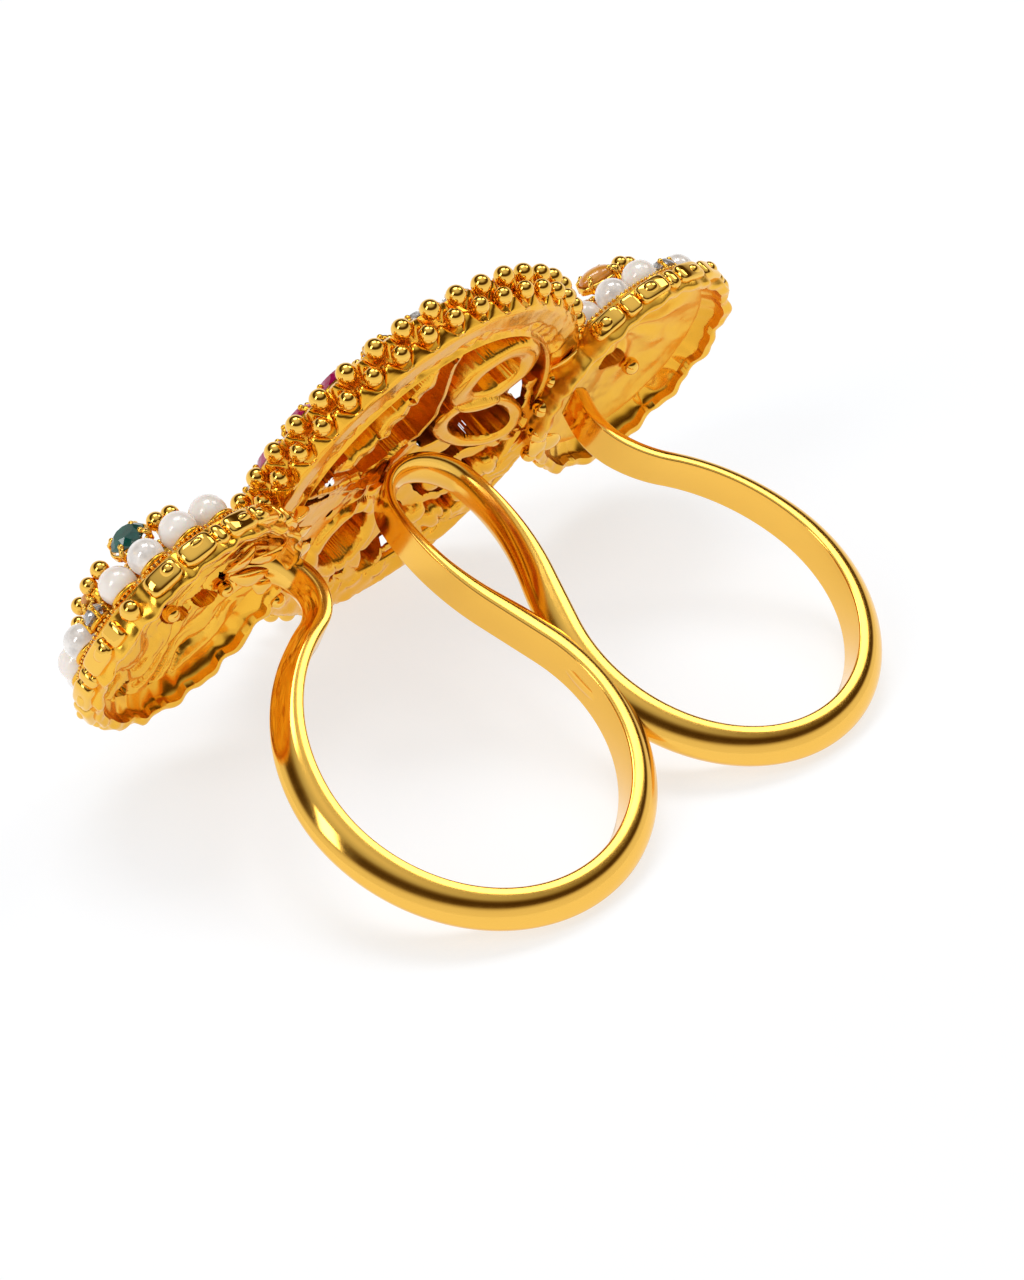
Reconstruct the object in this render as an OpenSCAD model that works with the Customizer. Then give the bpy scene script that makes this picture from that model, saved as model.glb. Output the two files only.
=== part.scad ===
// Two finger ring. One bent band makes two finger loops and a teardrop between them,
// and carries three round domed plaques in a row. Sizes in millimetres.
// The ring is built in its own frame (X along the row, Y along the fingers, Z from the
// loops outward), then laid down as it rests: on both loops and on the rim of the middle plaque.

/* [Band] */
// width of the band along the finger
band_w = 2.4; // [2.0:0.1:3.0]
// thickness of the band, flat inside and domed outside
band_t = 1.9; // [1.6:0.1:2.4]

/* [Middle plaque] */
// radius of the flat back flange
mid_flange_r = 11.9; // [11.5:0.1:12.1]
// radius of the front row of beads
mid_row_r = 13.1; // [13.0:0.1:13.4]
// size of the openings in the pierced plate, 1 = as drawn
opening_scale = 1; // [0.8:0.05:1.1]

/* [Side plaques] */
// radius of the scalloped back rim
side_rim_r = 7.3; // [7.0:0.1:7.5]
// radius of the ring of pearls and crystals
side_ring_r = 6.15; // [6.1:0.05:6.2]
// diameter of a pearl
pearl_d = 2.1; // [1.8:0.1:2.1]
// diameter of a crystal ball
crystal_d = 2.0; // [1.8:0.1:2.0]
// diameter of the small crystal held in prongs
small_d = 1.4; // [1.2:0.1:1.4]

/* [Hidden] */
$fn = 64;
gap = 0.03;                    // play between a stone and its seat
lay = 67.65;                   // how far the ring is laid over from upright
drop = [0.3, 9.1, 11.07];       // from the band's top to the middle of the footprint
mid_at = [0.6, -1, 0];         // middle plaque, centre of the flange's back
left_at = [-18.2, -0.8, -2.6]; // left plaque, centre of its back rim
right_at = [17.6, -0.6, -1.8]; // right plaque, centre of its back rim
R = 0; SWEEP = 1;              // columns of a path table: radius (0 = straight), sweep or length
// From the top of the teardrop down one side, round the loop and up to the foot.
// A left turn has a positive sweep, a right turn a negative one.
half_band = [[2.3, 80], [15, 29], [0, 3.7]];
left_foot = concat(half_band, [[10, -211], [12.3, -56], [2.4, 160], [0, 3.6]]);
right_foot = concat(half_band, [[10, -209], [13, -39], [6.7, 23], [4, 45], [0, 1.2]]);

KIND = 0; ANGLE = 1;           // columns of the stone tables
left_stones = [["pearl", -79], ["pearl", -99], ["crystal", -118.6], ["pearl", -138.2], ["small", -158], ["crystal", -177], ["pearl", 163], ["crystal", 143], ["pearl", 123], ["pearl", 103], ["crystal", 83]];
right_stones = [["pearl", -125], ["crystal", -105.4], ["pearl", -85.8], ["small", -69], ["crystal", -52.5], ["pearl", -32.8], ["crystal", -13.2], ["pearl", 6.4], ["pearl", 26.5], ["crystal", 46.1], ["pearl", 65.7]];
X = 0; Y = 1; BORE = 2; COLLAR = 3;   // columns of the table of openings; collar 0 = a plain hole
openings = [[4.4, -5.3, 3.1, 1.4], [5.1, -0.6, 3.2, 1], [-4, 5, 3.9, 1.2], [-1.8, -3.4, 2.4, 0], [-4.8, -2.8, 1.6, 0],
  [3.2, 3.9, 2, 0], [8.2, 1.2, 1.2, 0], [1.4, 8, 1.6, 0], [-7.6, 1.4, 1.4, 0], [-0.8, -7.2, 1.6, 0], [6.8, 4.6, 1.4, 0]];

gold = "Goldenrod"; pearl_col = "Ivory"; crystal_col = "LightCyan"; ruby_col = "DeepPink"; emerald_col = "Green"; orange_col = "Orange";

// Section of the band: flat on the finger side (-x), domed outside (+x). in = inset.
module band_section(in = 0) {
  h = band_w / 2 - in;
  translate([band_t / 2 - band_w / 2, 0]) circle(r = h);
  translate([-band_t / 2 + in, 0])
    polygon([[0, 0.2 - h], [0.2, -h], [band_t - band_w / 2 - in, -h], [band_t - band_w / 2 - in, h], [0.2, h], [0, h - 0.2]]);
}

// Sweeps the section along a path table; travel is along +X, left is +Y. Every second
// stretch is a hair thinner and is let into its neighbours by a tenth of a millimetre.
module run(path, i = 0) {
  if (i < len(path)) {
    r = path[i][R];
    a = path[i][SWEEP];
    in = i % 2 == 1 ? 0.01 : 0;
    e = i % 2 == 1 ? 0.1 : 0;
    if (r == 0) {
      translate([-e, 0, 0]) rotate([90, 0, 90]) linear_extrude(a + 2 * e) band_section(in);
      translate([a, 0, 0]) run(path, i + 1);
    } else if (a > 0) {
      translate([0, r, 0]) rotate([0, 0, -90 - e * 57.3 / r]) rotate_extrude(angle = a + 2 * e * 57.3 / r)
        translate([r, 0]) mirror([1, 0]) band_section(in);
      translate([0, r, 0]) rotate([0, 0, a]) translate([0, -r, 0]) run(path, i + 1);
    } else {
      translate([0, -r, 0]) rotate([0, 0, 90 + a - e * 57.3 / r]) rotate_extrude(angle = -a + 2 * e * 57.3 / r)
        translate([r, 0]) band_section(in);
      translate([0, -r, 0]) rotate([0, 0, a]) translate([0, r, 0]) run(path, i + 1);
    }
  }
}

module band() {
  rotate([90, 0, 0]) rotate([0, 0, 180]) run(left_foot);
  mirror([1, 0, 0]) rotate([90, 0, 0]) rotate([0, 0, 180]) run(right_foot);
}

// Round hoop that carries a row of beads.
module hoop(r, z, d) {
  translate([0, 0, z]) rotate_extrude() translate([r, 0]) circle(d = d, $fn = 32);
}

// Middle plaque: flange, bead rows, hollow domed front, pierced plate with collars.
module middle_plaque() {
  f = mid_flange_r;
  difference() {
    rotate_extrude() polygon([[f - 1.3, 0.15], [f - 1, -0.1], [f, 0], [f + 0.4, 0.45], [f + 0.7, 0.5], [f + 0.85, 1.4],
      [f + 1.1, 1.5], [f + 1, 2.4], [f + 0.3, 2.9], [f - 1, 3.1], [9.4, 4], [8.2, 4.4], [5.5, 5.3], [3.4, 5.7], [0, 5.8],
      [0, 5], [3.2, 4.9], [5.3, 4.5], [8, 3.6], [9.3, 3], [f - 1.9, 2], [f - 1.6, 1.2]]);
    translate([0, 0, 5.6]) cylinder(d1 = 3, d2 = 4.2, h = 2);
  }
  hoop(mid_row_r, 1.9, 1.2);
  hoop(mid_row_r - 0.4, 0.95, 1);
  difference() {
    union() {
      translate([0, 0, 1.1]) cylinder(r = f - 1.5, h = 0.8);
      for (o = openings) if (o[COLLAR] > 0)
        translate([o[X], o[Y], 0.7]) cylinder(d1 = o[BORE] + 2 * o[COLLAR] - 0.6, d2 = o[BORE] + 2 * o[COLLAR], h = 1);
    }
    for (o = openings) translate([o[X], o[Y], 0]) cylinder(d = opening_scale * o[BORE], h = 3);
  }
  translate([-mid_at[0], -mid_at[1], 0.2]) cylinder(r = 1.7, h = 1.2);
}

// Side plaque: hollow back, scalloped rim, course of blocks, steps for the stones, domed top.
module side_plaque() {
  s = side_rim_r;
  rotate_extrude() polygon([[s - 0.8, 0], [s, 0], [s + 0.1, 0.6], [s + 0.5, 0.9], [s + 0.5, 1.7], [s, 2], [s - 0.6, 2.1],
    [s - 2.1, 2.2], [4.6, 2.9], [4.4, 3.5], [3, 3.9], [2.4, 4.4], [1, 4.9], [0, 5],
    [0, 4.1], [1.6, 3.8], [3.8, 2.6], [4.8, 1.5], [s - 1.4, 1.3]]);
  for (i = [0 : 15]) rotate([0, 0, i * 22.5]) translate([s - 0.25, 0, 0.35]) sphere(d = 1.3, $fn = 24);
}

function ball_d(kind) = kind == "pearl" ? pearl_d : kind == "small" ? small_d : crystal_d;

// Cups cut for the stones of a side plaque.
module cups(stones) {
  for (s = stones) rotate([0, 0, s[ANGLE]]) translate([side_ring_r, 0, 3]) sphere(d = ball_d(s[KIND]) + 2 * gap);
}

// One stone of a side plaque.
module stone(stones, i) {
  color(stones[i][KIND] == "pearl" ? pearl_col : crystal_col)
    rotate([0, 0, stones[i][ANGLE]]) translate([side_ring_r, 0, 3]) sphere(d = ball_d(stones[i][KIND]));
}

// Facetted stone seen as a round outline: table, crown, girdle and pavilion.
module gem(d, h) {
  rotate_extrude() polygon([[0, 0], [0.25 * d, 0], [0.5 * d, 0.45 * h], [0.5 * d, 0.6 * h], [0.3 * d, h], [0, h]]);
}

// Closed bezel under a gem, with its seat.
module bezel(d, h) {
  difference() {
    cylinder(d1 = d + 1, d2 = d + 0.7, h = h);
    translate([0, 0, h - 0.65]) cylinder(d1 = 0.6 * d, d2 = d + 2 * gap, h = 0.5);
    translate([0, 0, h - 0.15 - 0.01]) cylinder(d = d + 2 * gap, h = 0.4);
  }
}

module laid() { translate(drop) rotate([-lay, 0, 0]) children(); }

module ring_frame() color(gold) laid() {
  band();
  difference() {
    translate(mid_at) middle_plaque();
    translate(right_at) cups([right_stones[0]]);
  }
  difference() {
    union() {
      translate(left_at) side_plaque();
      translate(right_at) side_plaque();
    }
    translate(left_at) cups(left_stones);
    translate(right_at) cups(right_stones);
    translate(mid_at) translate([0, 0, 1]) cylinder(r = 11, h = 6);
  }
}

module middle_ruby() color(ruby_col) laid() translate(mid_at) translate([0, 0, 5.68]) intersection() {
  translate([0, 0, -1.2]) sphere(r = 2.4);
  cylinder(d1 = 2.9, d2 = 4, h = 1.8);
}
module left_emerald() color(emerald_col) laid() translate(left_at) rotate([0, 0, -118]) translate([3.6, 0, 4.1]) gem(1.8, 1.2);
module left_orange_bead() color(orange_col) laid() translate(left_at) rotate([0, 0, -157]) translate([3.8, 0, 4.5]) sphere(d = 1.1);
module right_orange_stone() color(orange_col) laid() translate(right_at) rotate([0, 0, -120]) translate([3.6, 0, 4.1]) gem(2, 1.2);

module left_pearl_1() laid() translate(left_at) stone(left_stones, 0);
module left_pearl_2() laid() translate(left_at) stone(left_stones, 1);
module left_crystal_1() laid() translate(left_at) stone(left_stones, 2);
module left_pearl_3() laid() translate(left_at) stone(left_stones, 3);
module left_crystal_2() laid() translate(left_at) stone(left_stones, 4);
module left_crystal_3() laid() translate(left_at) stone(left_stones, 5);
module left_pearl_4() laid() translate(left_at) stone(left_stones, 6);
module left_crystal_4() laid() translate(left_at) stone(left_stones, 7);
module left_pearl_5() laid() translate(left_at) stone(left_stones, 8);
module left_pearl_6() laid() translate(left_at) stone(left_stones, 9);
module left_crystal_5() laid() translate(left_at) stone(left_stones, 10);
module right_pearl_1() laid() translate(right_at) stone(right_stones, 0);
module right_crystal_1() laid() translate(right_at) stone(right_stones, 1);
module right_pearl_2() laid() translate(right_at) stone(right_stones, 2);
module right_crystal_2() laid() translate(right_at) stone(right_stones, 3);
module right_crystal_3() laid() translate(right_at) stone(right_stones, 4);
module right_pearl_3() laid() translate(right_at) stone(right_stones, 5);
module right_crystal_4() laid() translate(right_at) stone(right_stones, 6);
module right_pearl_4() laid() translate(right_at) stone(right_stones, 7);
module right_pearl_5() laid() translate(right_at) stone(right_stones, 8);
module right_crystal_5() laid() translate(right_at) stone(right_stones, 9);
module right_pearl_6() laid() translate(right_at) stone(right_stones, 10);

ring_frame();
middle_ruby();
left_emerald();
left_orange_bead();
right_orange_stone();
left_pearl_1();
left_pearl_2();
left_crystal_1();
left_pearl_3();
left_crystal_2();
left_crystal_3();
left_pearl_4();
left_crystal_4();
left_pearl_5();
left_pearl_6();
left_crystal_5();
right_pearl_1();
right_crystal_1();
right_pearl_2();
right_crystal_2();
right_crystal_3();
right_pearl_3();
right_crystal_4();
right_pearl_4();
right_pearl_5();
right_crystal_5();
right_pearl_6();
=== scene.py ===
import bpy, bmesh, math
import numpy as np
from mathutils import Matrix, Vector


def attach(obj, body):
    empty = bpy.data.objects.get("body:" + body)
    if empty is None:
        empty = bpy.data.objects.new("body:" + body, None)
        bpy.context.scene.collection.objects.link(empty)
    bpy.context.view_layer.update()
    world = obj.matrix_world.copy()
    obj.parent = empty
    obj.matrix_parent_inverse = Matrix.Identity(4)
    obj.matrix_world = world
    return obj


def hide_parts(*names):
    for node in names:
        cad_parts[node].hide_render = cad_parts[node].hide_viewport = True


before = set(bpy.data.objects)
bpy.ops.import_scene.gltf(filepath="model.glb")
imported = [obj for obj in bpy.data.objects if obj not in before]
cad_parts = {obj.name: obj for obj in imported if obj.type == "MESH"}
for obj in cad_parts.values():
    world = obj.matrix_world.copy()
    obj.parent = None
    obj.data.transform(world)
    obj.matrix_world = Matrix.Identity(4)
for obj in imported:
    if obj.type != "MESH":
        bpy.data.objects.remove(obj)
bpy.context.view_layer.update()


# ---------------------------------------------------------------------------
# The ring's own frame (mm): X along the row, Y along the fingers, Z from the
# loops outward. W() lays it down as part.scad does and gives metres.
# ---------------------------------------------------------------------------
LAY = math.radians(67.65)
DROP = np.array([0.3, 9.1, 11.07])
MID = np.array([0.6, -1.0, 0.0])
LEFT = np.array([-18.2, -0.8, -2.6])
RIGHT = np.array([17.6, -0.6, -1.8])
CL, SL = math.cos(LAY), math.sin(LAY)
ROT = np.array([[1, 0, 0], [0, CL, SL], [0, -SL, CL]])


def W(P):
    return (np.asarray(P, float) @ ROT.T + DROP) / 1000.0


class Build:
    """Collects vertices and faces in the ring frame."""

    def __init__(self):
        self.v, self.f, self.m, self.n = [], [], [], 0

    def add(self, V, F, mat=0):
        V = np.asarray(V, float).reshape(-1, 3)
        F = np.asarray(F, int)
        self.v.append(V)
        self.f.append(F + self.n)
        self.m.append(np.full(len(F), mat))
        self.n += len(V)

    def make(self, name, mats, slot, at=(0, 0, 0), rot=None, smooth=True, replaces=()):
        V = np.vstack(self.v)
        if rot is not None:
            V = V @ np.asarray(rot, float).T
        V = W(V + np.asarray(at, float))
        me = bpy.data.meshes.new(name)
        faces = [f for blk in self.f for f in blk.tolist()]
        me.from_pydata(V.tolist(), [], faces)
        mi = np.concatenate(self.m)
        me.polygons.foreach_set("material_index", mi.astype(np.int32))
        me.polygons.foreach_set("use_smooth", np.full(len(me.polygons), bool(smooth)))
        me.update()
        ob = bpy.data.objects.new(name, me)
        bpy.context.scene.collection.objects.link(ob)
        for m in mats if isinstance(mats, (list, tuple)) else [mats]:
            me.materials.append(m)
        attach(ob, "root")
        if replaces:
            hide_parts(*replaces)
        return ob


def grid_faces(nu, nv, wrap_u=False, wrap_v=False, flip=False, base=0):
    """Quads of a grid whose vertex (i, j) is i * nv + j."""
    iu = np.arange(nu if wrap_u else nu - 1)
    jv = np.arange(nv if wrap_v else nv - 1)
    i, j = np.meshgrid(iu, jv, indexing="ij")
    i2, j2 = (i + 1) % nu, (j + 1) % nv
    q = np.stack([i * nv + j, i2 * nv + j, i2 * nv + j2, i * nv + j2], -1).reshape(-1, 4)
    if flip:
        q = q[:, ::-1]
    return q + base


# unit ball, poles on Z
def unit_ball(nu=20, nv=12):
    th = np.linspace(0, 2 * np.pi, nu, endpoint=False)
    ph = np.linspace(0, np.pi, nv + 1)[1:-1]
    V = [(0, 0, 1)] + [(math.sin(p) * math.cos(t), math.sin(p) * math.sin(t), math.cos(p)) for p in ph for t in th] + [(0, 0, -1)]
    F4, F3 = [], []
    m = len(ph)
    for i in range(nu):
        j = (i + 1) % nu
        F3.append((0, 1 + i, 1 + j))
        F3.append((len(V) - 1, 1 + (m - 1) * nu + j, 1 + (m - 1) * nu + i))
        for k in range(m - 1):
            F4.append((1 + k * nu + i, 1 + (k + 1) * nu + i, 1 + (k + 1) * nu + j, 1 + k * nu + j))
    return np.array(V, float), F4, F3


BALLS = {k: unit_ball(*k) for k in ((26, 16), (16, 10), (12, 8), (10, 6), (40, 26))}


def ball(b, c, r, kind=(26, 16), mat=0, axes=None):
    """A ball, or an ellipsoid where r has three sizes, with axes its rotation."""
    V, F4, F3 = BALLS[kind]
    P = V * np.asarray(r, float)
    if axes is not None:
        P = P @ np.asarray(axes, float).T
    b.add(P + np.asarray(c, float), F4, mat)
    n0 = b.n - len(V)
    b.f.append(np.array(F3) + n0)
    b.m.append(np.full(len(F3), mat))


def spin(a):
    c, s = math.cos(a), math.sin(a)
    return np.array([[c, -s, 0], [s, c, 0], [0, 0, 1]])


def frame_of(n, up=(0, 0, 1)):
    """Rotation whose third column is n."""
    n = np.asarray(n, float)
    n = n / np.linalg.norm(n)
    a = np.cross(up, n)
    if np.linalg.norm(a) < 1e-6:
        a = np.array([1.0, 0, 0])
    a /= np.linalg.norm(a)
    return np.stack([a, np.cross(n, a), n], 1)


def tube(b, P, r, ns=10, mat=0, closed=False, flat=1.0):
    """A round wire along points P; r is a number or one per point."""
    P = np.asarray(P, float)
    n = len(P)
    r = np.broadcast_to(np.asarray(r, float), (n,))
    T = np.roll(P, -1, 0) - np.roll(P, 1, 0) if closed else np.gradient(P, axis=0)
    T /= np.linalg.norm(T, axis=1)[:, None]
    A = np.cross(T, [0, 0, 1.0])
    bad = np.linalg.norm(A, axis=1) < 1e-4
    A[bad] = [1, 0, 0]
    A /= np.linalg.norm(A, axis=1)[:, None]
    B = np.cross(A, T)
    ph = np.linspace(0, 2 * np.pi, ns, endpoint=False)
    V = P[:, None] + r[:, None, None] * (np.cos(ph)[None, :, None] * A[:, None] + flat * np.sin(ph)[None, :, None] * B[:, None])
    n0 = b.n
    b.add(V.reshape(-1, 3), grid_faces(n, ns, wrap_u=closed, wrap_v=True), mat)
    if not closed:
        for row, rev in ((0, False), (n - 1, True)):
            c = P[row]
            b.add([c], np.zeros((0, 3), int), mat)
            idx = [n0 + row * ns + k for k in range(ns)]
            tri = [(b.n - 1, idx[(k + 1) % ns], idx[k]) if rev else (b.n - 1, idx[k], idx[(k + 1) % ns]) for k in range(ns)]
            b.f.append(np.array(tri))
            b.m.append(np.full(ns, mat))


rng = np.random.default_rng(7)


class Waves:
    """Smooth seeded noise: a sum of sines over the plane, about -1 to 1."""

    def __init__(self, scale, seed, n=14):
        g = np.random.default_rng(seed)
        a = g.uniform(0, 2 * np.pi, n)
        k = 2 * np.pi / scale * g.uniform(0.6, 1.6, n)
        self.kx, self.ky, self.p = k * np.cos(a), k * np.sin(a), g.uniform(0, 2 * np.pi, n)
        self.n = n

    def __call__(self, x, y):
        s = 0
        for kx, ky, p in zip(self.kx, self.ky, self.p):
            s = s + np.sin(kx * x + ky * y + p)
        return s / math.sqrt(self.n) / 1.2


def smin(a, b, k):
    h = np.clip(0.5 + 0.5 * (b - a) / k, 0, 1)
    return b * (1 - h) + a * h - k * h * (1 - h)


def sstep(a, b, x):
    t = np.clip((x - a) / (b - a), 0, 1)
    return t * t * (3 - 2 * t)


def seg_dist(x, y, P):
    """Distance to a polyline and the share of its length at the nearest point."""
    P = np.asarray(P, float)
    L = np.r_[0, np.cumsum(np.linalg.norm(np.diff(P, axis=0), axis=1))]
    best = np.full(np.shape(x), 1e9)
    at = np.zeros(np.shape(x))
    for i in range(len(P) - 1):
        ax, ay = P[i]
        bx, by = P[i + 1]
        dx, dy = bx - ax, by - ay
        q = np.clip(((x - ax) * dx + (y - ay) * dy) / (dx * dx + dy * dy + 1e-12), 0, 1)
        d = np.hypot(x - ax - q * dx, y - ay - q * dy)
        m = d < best
        best = np.where(m, d, best)
        at = np.where(m, (L[i] + q * (L[i + 1] - L[i])) / L[-1], at)
    return best, at


# ---------------------------------------------------------------------------
# Materials
# ---------------------------------------------------------------------------
def new_mat(name):
    m = bpy.data.materials.new(name)
    m.use_nodes = True
    nt = m.node_tree
    return m, nt, nt.nodes["Principled BSDF"]


def node(nt, kind, **kw):
    n = nt.nodes.new(kind)
    for k, v in kw.items():
        if k.startswith("in_"):
            n.inputs[k[3:]].default_value = v
        else:
            setattr(n, k, v)
    return n


def coords(nt, scale):
    """Object coordinates in tenths of a millimetre or so."""
    tc = node(nt, "ShaderNodeTexCoord")
    mp = node(nt, "ShaderNodeMapping")
    mp.inputs["Scale"].default_value = (scale, scale, scale)
    nt.links.new(tc.outputs["Object"], mp.inputs["Vector"])
    return mp.outputs["Vector"]


def gold(name, base, rough, bump=0.0, bump_scale=1500, mottle=0.12, rough_var=0.06, fine=0.0, tint=(0.86, 0.42, 0.05, 1)):
    m, nt, p = new_mat(name)
    p.inputs["Metallic"].default_value = 1.0
    v = coords(nt, 1.0)
    # broad and fine colour variation, as of a hand polished alloy
    n1 = node(nt, "ShaderNodeTexNoise", in_Scale=420.0, in_Detail=3.0, in_Roughness=0.55)
    nt.links.new(v, n1.inputs["Vector"])
    ramp = node(nt, "ShaderNodeValToRGB")
    ramp.color_ramp.elements[0].position = 0.25
    ramp.color_ramp.elements[1].position = 0.8
    b = base
    t = tint
    ramp.color_ramp.elements[0].color = tuple(b[i] * (1 - mottle) + t[i] * mottle for i in range(3)) + (1,)
    ramp.color_ramp.elements[1].color = tuple(b) + (1,)
    nt.links.new(n1.outputs["Fac"], ramp.inputs["Fac"])
    nt.links.new(ramp.outputs["Color"], p.inputs["Base Color"])
    n2 = node(nt, "ShaderNodeTexNoise", in_Scale=900.0, in_Detail=4.0, in_Roughness=0.6)
    nt.links.new(v, n2.inputs["Vector"])
    mr = node(nt, "ShaderNodeMapRange")
    mr.inputs["From Min"].default_value = 0.3
    mr.inputs["From Max"].default_value = 0.75
    mr.inputs["To Min"].default_value = rough
    mr.inputs["To Max"].default_value = rough + rough_var
    nt.links.new(n2.outputs["Fac"], mr.inputs["Value"])
    nt.links.new(mr.outputs["Result"], p.inputs["Roughness"])
    if bump > 0:
        n3 = node(nt, "ShaderNodeTexNoise", in_Scale=float(bump_scale), in_Detail=3.0, in_Roughness=0.5)
        nt.links.new(v, n3.inputs["Vector"])
        bp = node(nt, "ShaderNodeBump")
        bp.inputs["Strength"].default_value = bump
        bp.inputs["Distance"].default_value = 0.00012
        nt.links.new(n3.outputs["Fac"], bp.inputs["Height"])
        last = bp
        if fine > 0:
            n4 = node(nt, "ShaderNodeTexNoise", in_Scale=float(bump_scale) * 4, in_Detail=2.0)
            nt.links.new(v, n4.inputs["Vector"])
            b2 = node(nt, "ShaderNodeBump")
            b2.inputs["Strength"].default_value = fine
            b2.inputs["Distance"].default_value = 0.00004
            nt.links.new(n4.outputs["Fac"], b2.inputs["Height"])
            nt.links.new(bp.outputs["Normal"], b2.inputs["Normal"])
            last = b2
        nt.links.new(last.outputs["Normal"], p.inputs["Normal"])
    return m


GOLD = (0.94, 0.55, 0.10)
gold_band = gold("gold_polished", GOLD, 0.115, bump=0.015, bump_scale=260, mottle=0.06, rough_var=0.05)
gold_bead = gold("gold_bead", (0.94, 0.56, 0.10), 0.045, bump=0.03, bump_scale=900, mottle=0.10, rough_var=0.03)
gold_cast = gold("gold_cast", (0.93, 0.50, 0.05), 0.17, bump=0.40, bump_scale=650, mottle=0.30, rough_var=0.12, fine=0.10, tint=(0.80, 0.33, 0.02, 1))
gold_wall = gold("gold_wall", (0.93, 0.50, 0.05), 0.15, bump=0.08, bump_scale=500, mottle=0.25, rough_var=0.05, tint=(0.80, 0.33, 0.02, 1))
gold_floor = gold("gold_floor", (0.93, 0.53, 0.065), 0.16, bump=0.35, bump_scale=600, mottle=0.28, rough_var=0.12, fine=0.1, tint=(0.80, 0.36, 0.02, 1))
gold_satin = gold("gold_satin", (0.93, 0.53, 0.065), 0.27, bump=0.35, bump_scale=600, mottle=0.28, rough_var=0.12, fine=0.1, tint=(0.80, 0.36, 0.02, 1))
gold_rough = gold("gold_relief", (0.94, 0.56, 0.09), 0.15, bump=0.45, bump_scale=1300, mottle=0.25, rough_var=0.14, fine=0.15)


def pearl_mat():
    m, nt, p = new_mat("pearl")
    v = coords(nt, 1.0)
    n1 = node(nt, "ShaderNodeTexNoise", in_Scale=700.0, in_Detail=2.0)
    nt.links.new(v, n1.inputs["Vector"])
    ramp = node(nt, "ShaderNodeValToRGB")
    ramp.color_ramp.elements[0].color = (0.91, 0.85, 0.79, 1)
    ramp.color_ramp.elements[1].color = (0.97, 0.94, 0.90, 1)
    ramp.color_ramp.elements[0].position = 0.2
    ramp.color_ramp.elements[1].position = 0.75
    nt.links.new(n1.outputs["Fac"], ramp.inputs["Fac"])
    # painted shade: the base colour is mixed towards a darker warm tone at the rim, where the surface turns from the
    # camera, standing in for the pearl's shading
    lw = node(nt, "ShaderNodeLayerWeight")
    lw.inputs["Blend"].default_value = 0.35
    painted_rim_shade = node(nt, "ShaderNodeMixRGB")
    painted_rim_shade.inputs["Color2"].default_value = (0.80, 0.66, 0.57, 1)
    nt.links.new(lw.outputs["Facing"], painted_rim_shade.inputs["Fac"])
    nt.links.new(ramp.outputs["Color"], painted_rim_shade.inputs["Color1"])
    nt.links.new(painted_rim_shade.outputs["Color"], p.inputs["Base Color"])
    p.inputs["Roughness"].default_value = 0.22
    p.inputs["Coat Weight"].default_value = 0.9
    p.inputs["Coat Roughness"].default_value = 0.12
    p.inputs["Subsurface Weight"].default_value = 0.12
    p.inputs["Subsurface Scale"].default_value = 0.0008
    # painted light: a faint warm emission makes the pearl glow a little, lightening it as a lamp would
    p.inputs["Emission Color"].default_value = (1.0, 0.92, 0.85, 1)
    p.inputs["Emission Strength"].default_value = 0.05
    bp = node(nt, "ShaderNodeBump")
    bp.inputs["Strength"].default_value = 0.04
    bp.inputs["Distance"].default_value = 0.0001
    n2 = node(nt, "ShaderNodeTexNoise", in_Scale=1500.0, in_Detail=2.0)
    nt.links.new(v, n2.inputs["Vector"])
    nt.links.new(n2.outputs["Fac"], bp.inputs["Height"])
    nt.links.new(bp.outputs["Normal"], p.inputs["Normal"])
    return m


def stone_mat(name, deep, light, rough=0.03, trans=0.55, ior=1.6, scale=500.0):
    """A cut stone: some light goes through, with veils of lighter and darker colour inside."""
    m, nt, p = new_mat(name)
    v = coords(nt, 1.0)
    n1 = node(nt, "ShaderNodeTexNoise", in_Scale=scale, in_Detail=3.0, in_Roughness=0.6)
    nt.links.new(v, n1.inputs["Vector"])
    ramp = node(nt, "ShaderNodeValToRGB")
    ramp.color_ramp.elements[0].color = tuple(deep) + (1,)
    ramp.color_ramp.elements[1].color = tuple(light) + (1,)
    ramp.color_ramp.elements[0].position = 0.3
    ramp.color_ramp.elements[1].position = 0.75
    nt.links.new(n1.outputs["Fac"], ramp.inputs["Fac"])
    nt.links.new(ramp.outputs["Color"], p.inputs["Base Color"])
    p.inputs["Roughness"].default_value = rough
    p.inputs["IOR"].default_value = ior
    p.inputs["Transmission Weight"].default_value = trans
    p.inputs["Coat Weight"].default_value = 0.5
    p.inputs["Coat Roughness"].default_value = 0.02
    n2 = node(nt, "ShaderNodeTexNoise", in_Scale=2200.0, in_Detail=1.0)
    nt.links.new(v, n2.inputs["Vector"])
    bp = node(nt, "ShaderNodeBump")
    bp.inputs["Strength"].default_value = 0.03
    bp.inputs["Distance"].default_value = 0.00005
    nt.links.new(n2.outputs["Fac"], bp.inputs["Height"])
    nt.links.new(bp.outputs["Normal"], p.inputs["Normal"])
    return m


pearl = pearl_mat()
crystal = stone_mat("crystal", (0.50, 0.48, 0.47), (1.0, 0.99, 0.97), rough=0.03, trans=0.25, ior=1.9, scale=1400)
# painted light: a faint emission makes the crystal glow, brightening it as a lamp would
crystal.node_tree.nodes["Principled BSDF"].inputs["Emission Color"].default_value = (1.0, 0.95, 0.90, 1)
crystal.node_tree.nodes["Principled BSDF"].inputs["Emission Strength"].default_value = 0.15
ruby = stone_mat("ruby", (0.38, 0.0, 0.08), (0.80, 0.01, 0.25), trans=0.2, ior=1.76)
emerald = stone_mat("emerald", (0.0, 0.045, 0.04), (0.004, 0.20, 0.15), trans=0.15, ior=1.57)
orange = stone_mat("orange_stone", (0.80, 0.24, 0.01), (1.0, 0.50, 0.09), trans=0.15, ior=1.6)
diamond = stone_mat("diamond", (0.8, 0.8, 0.82), (1.0, 1.0, 1.0), trans=0.7, ior=2.2)

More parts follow.
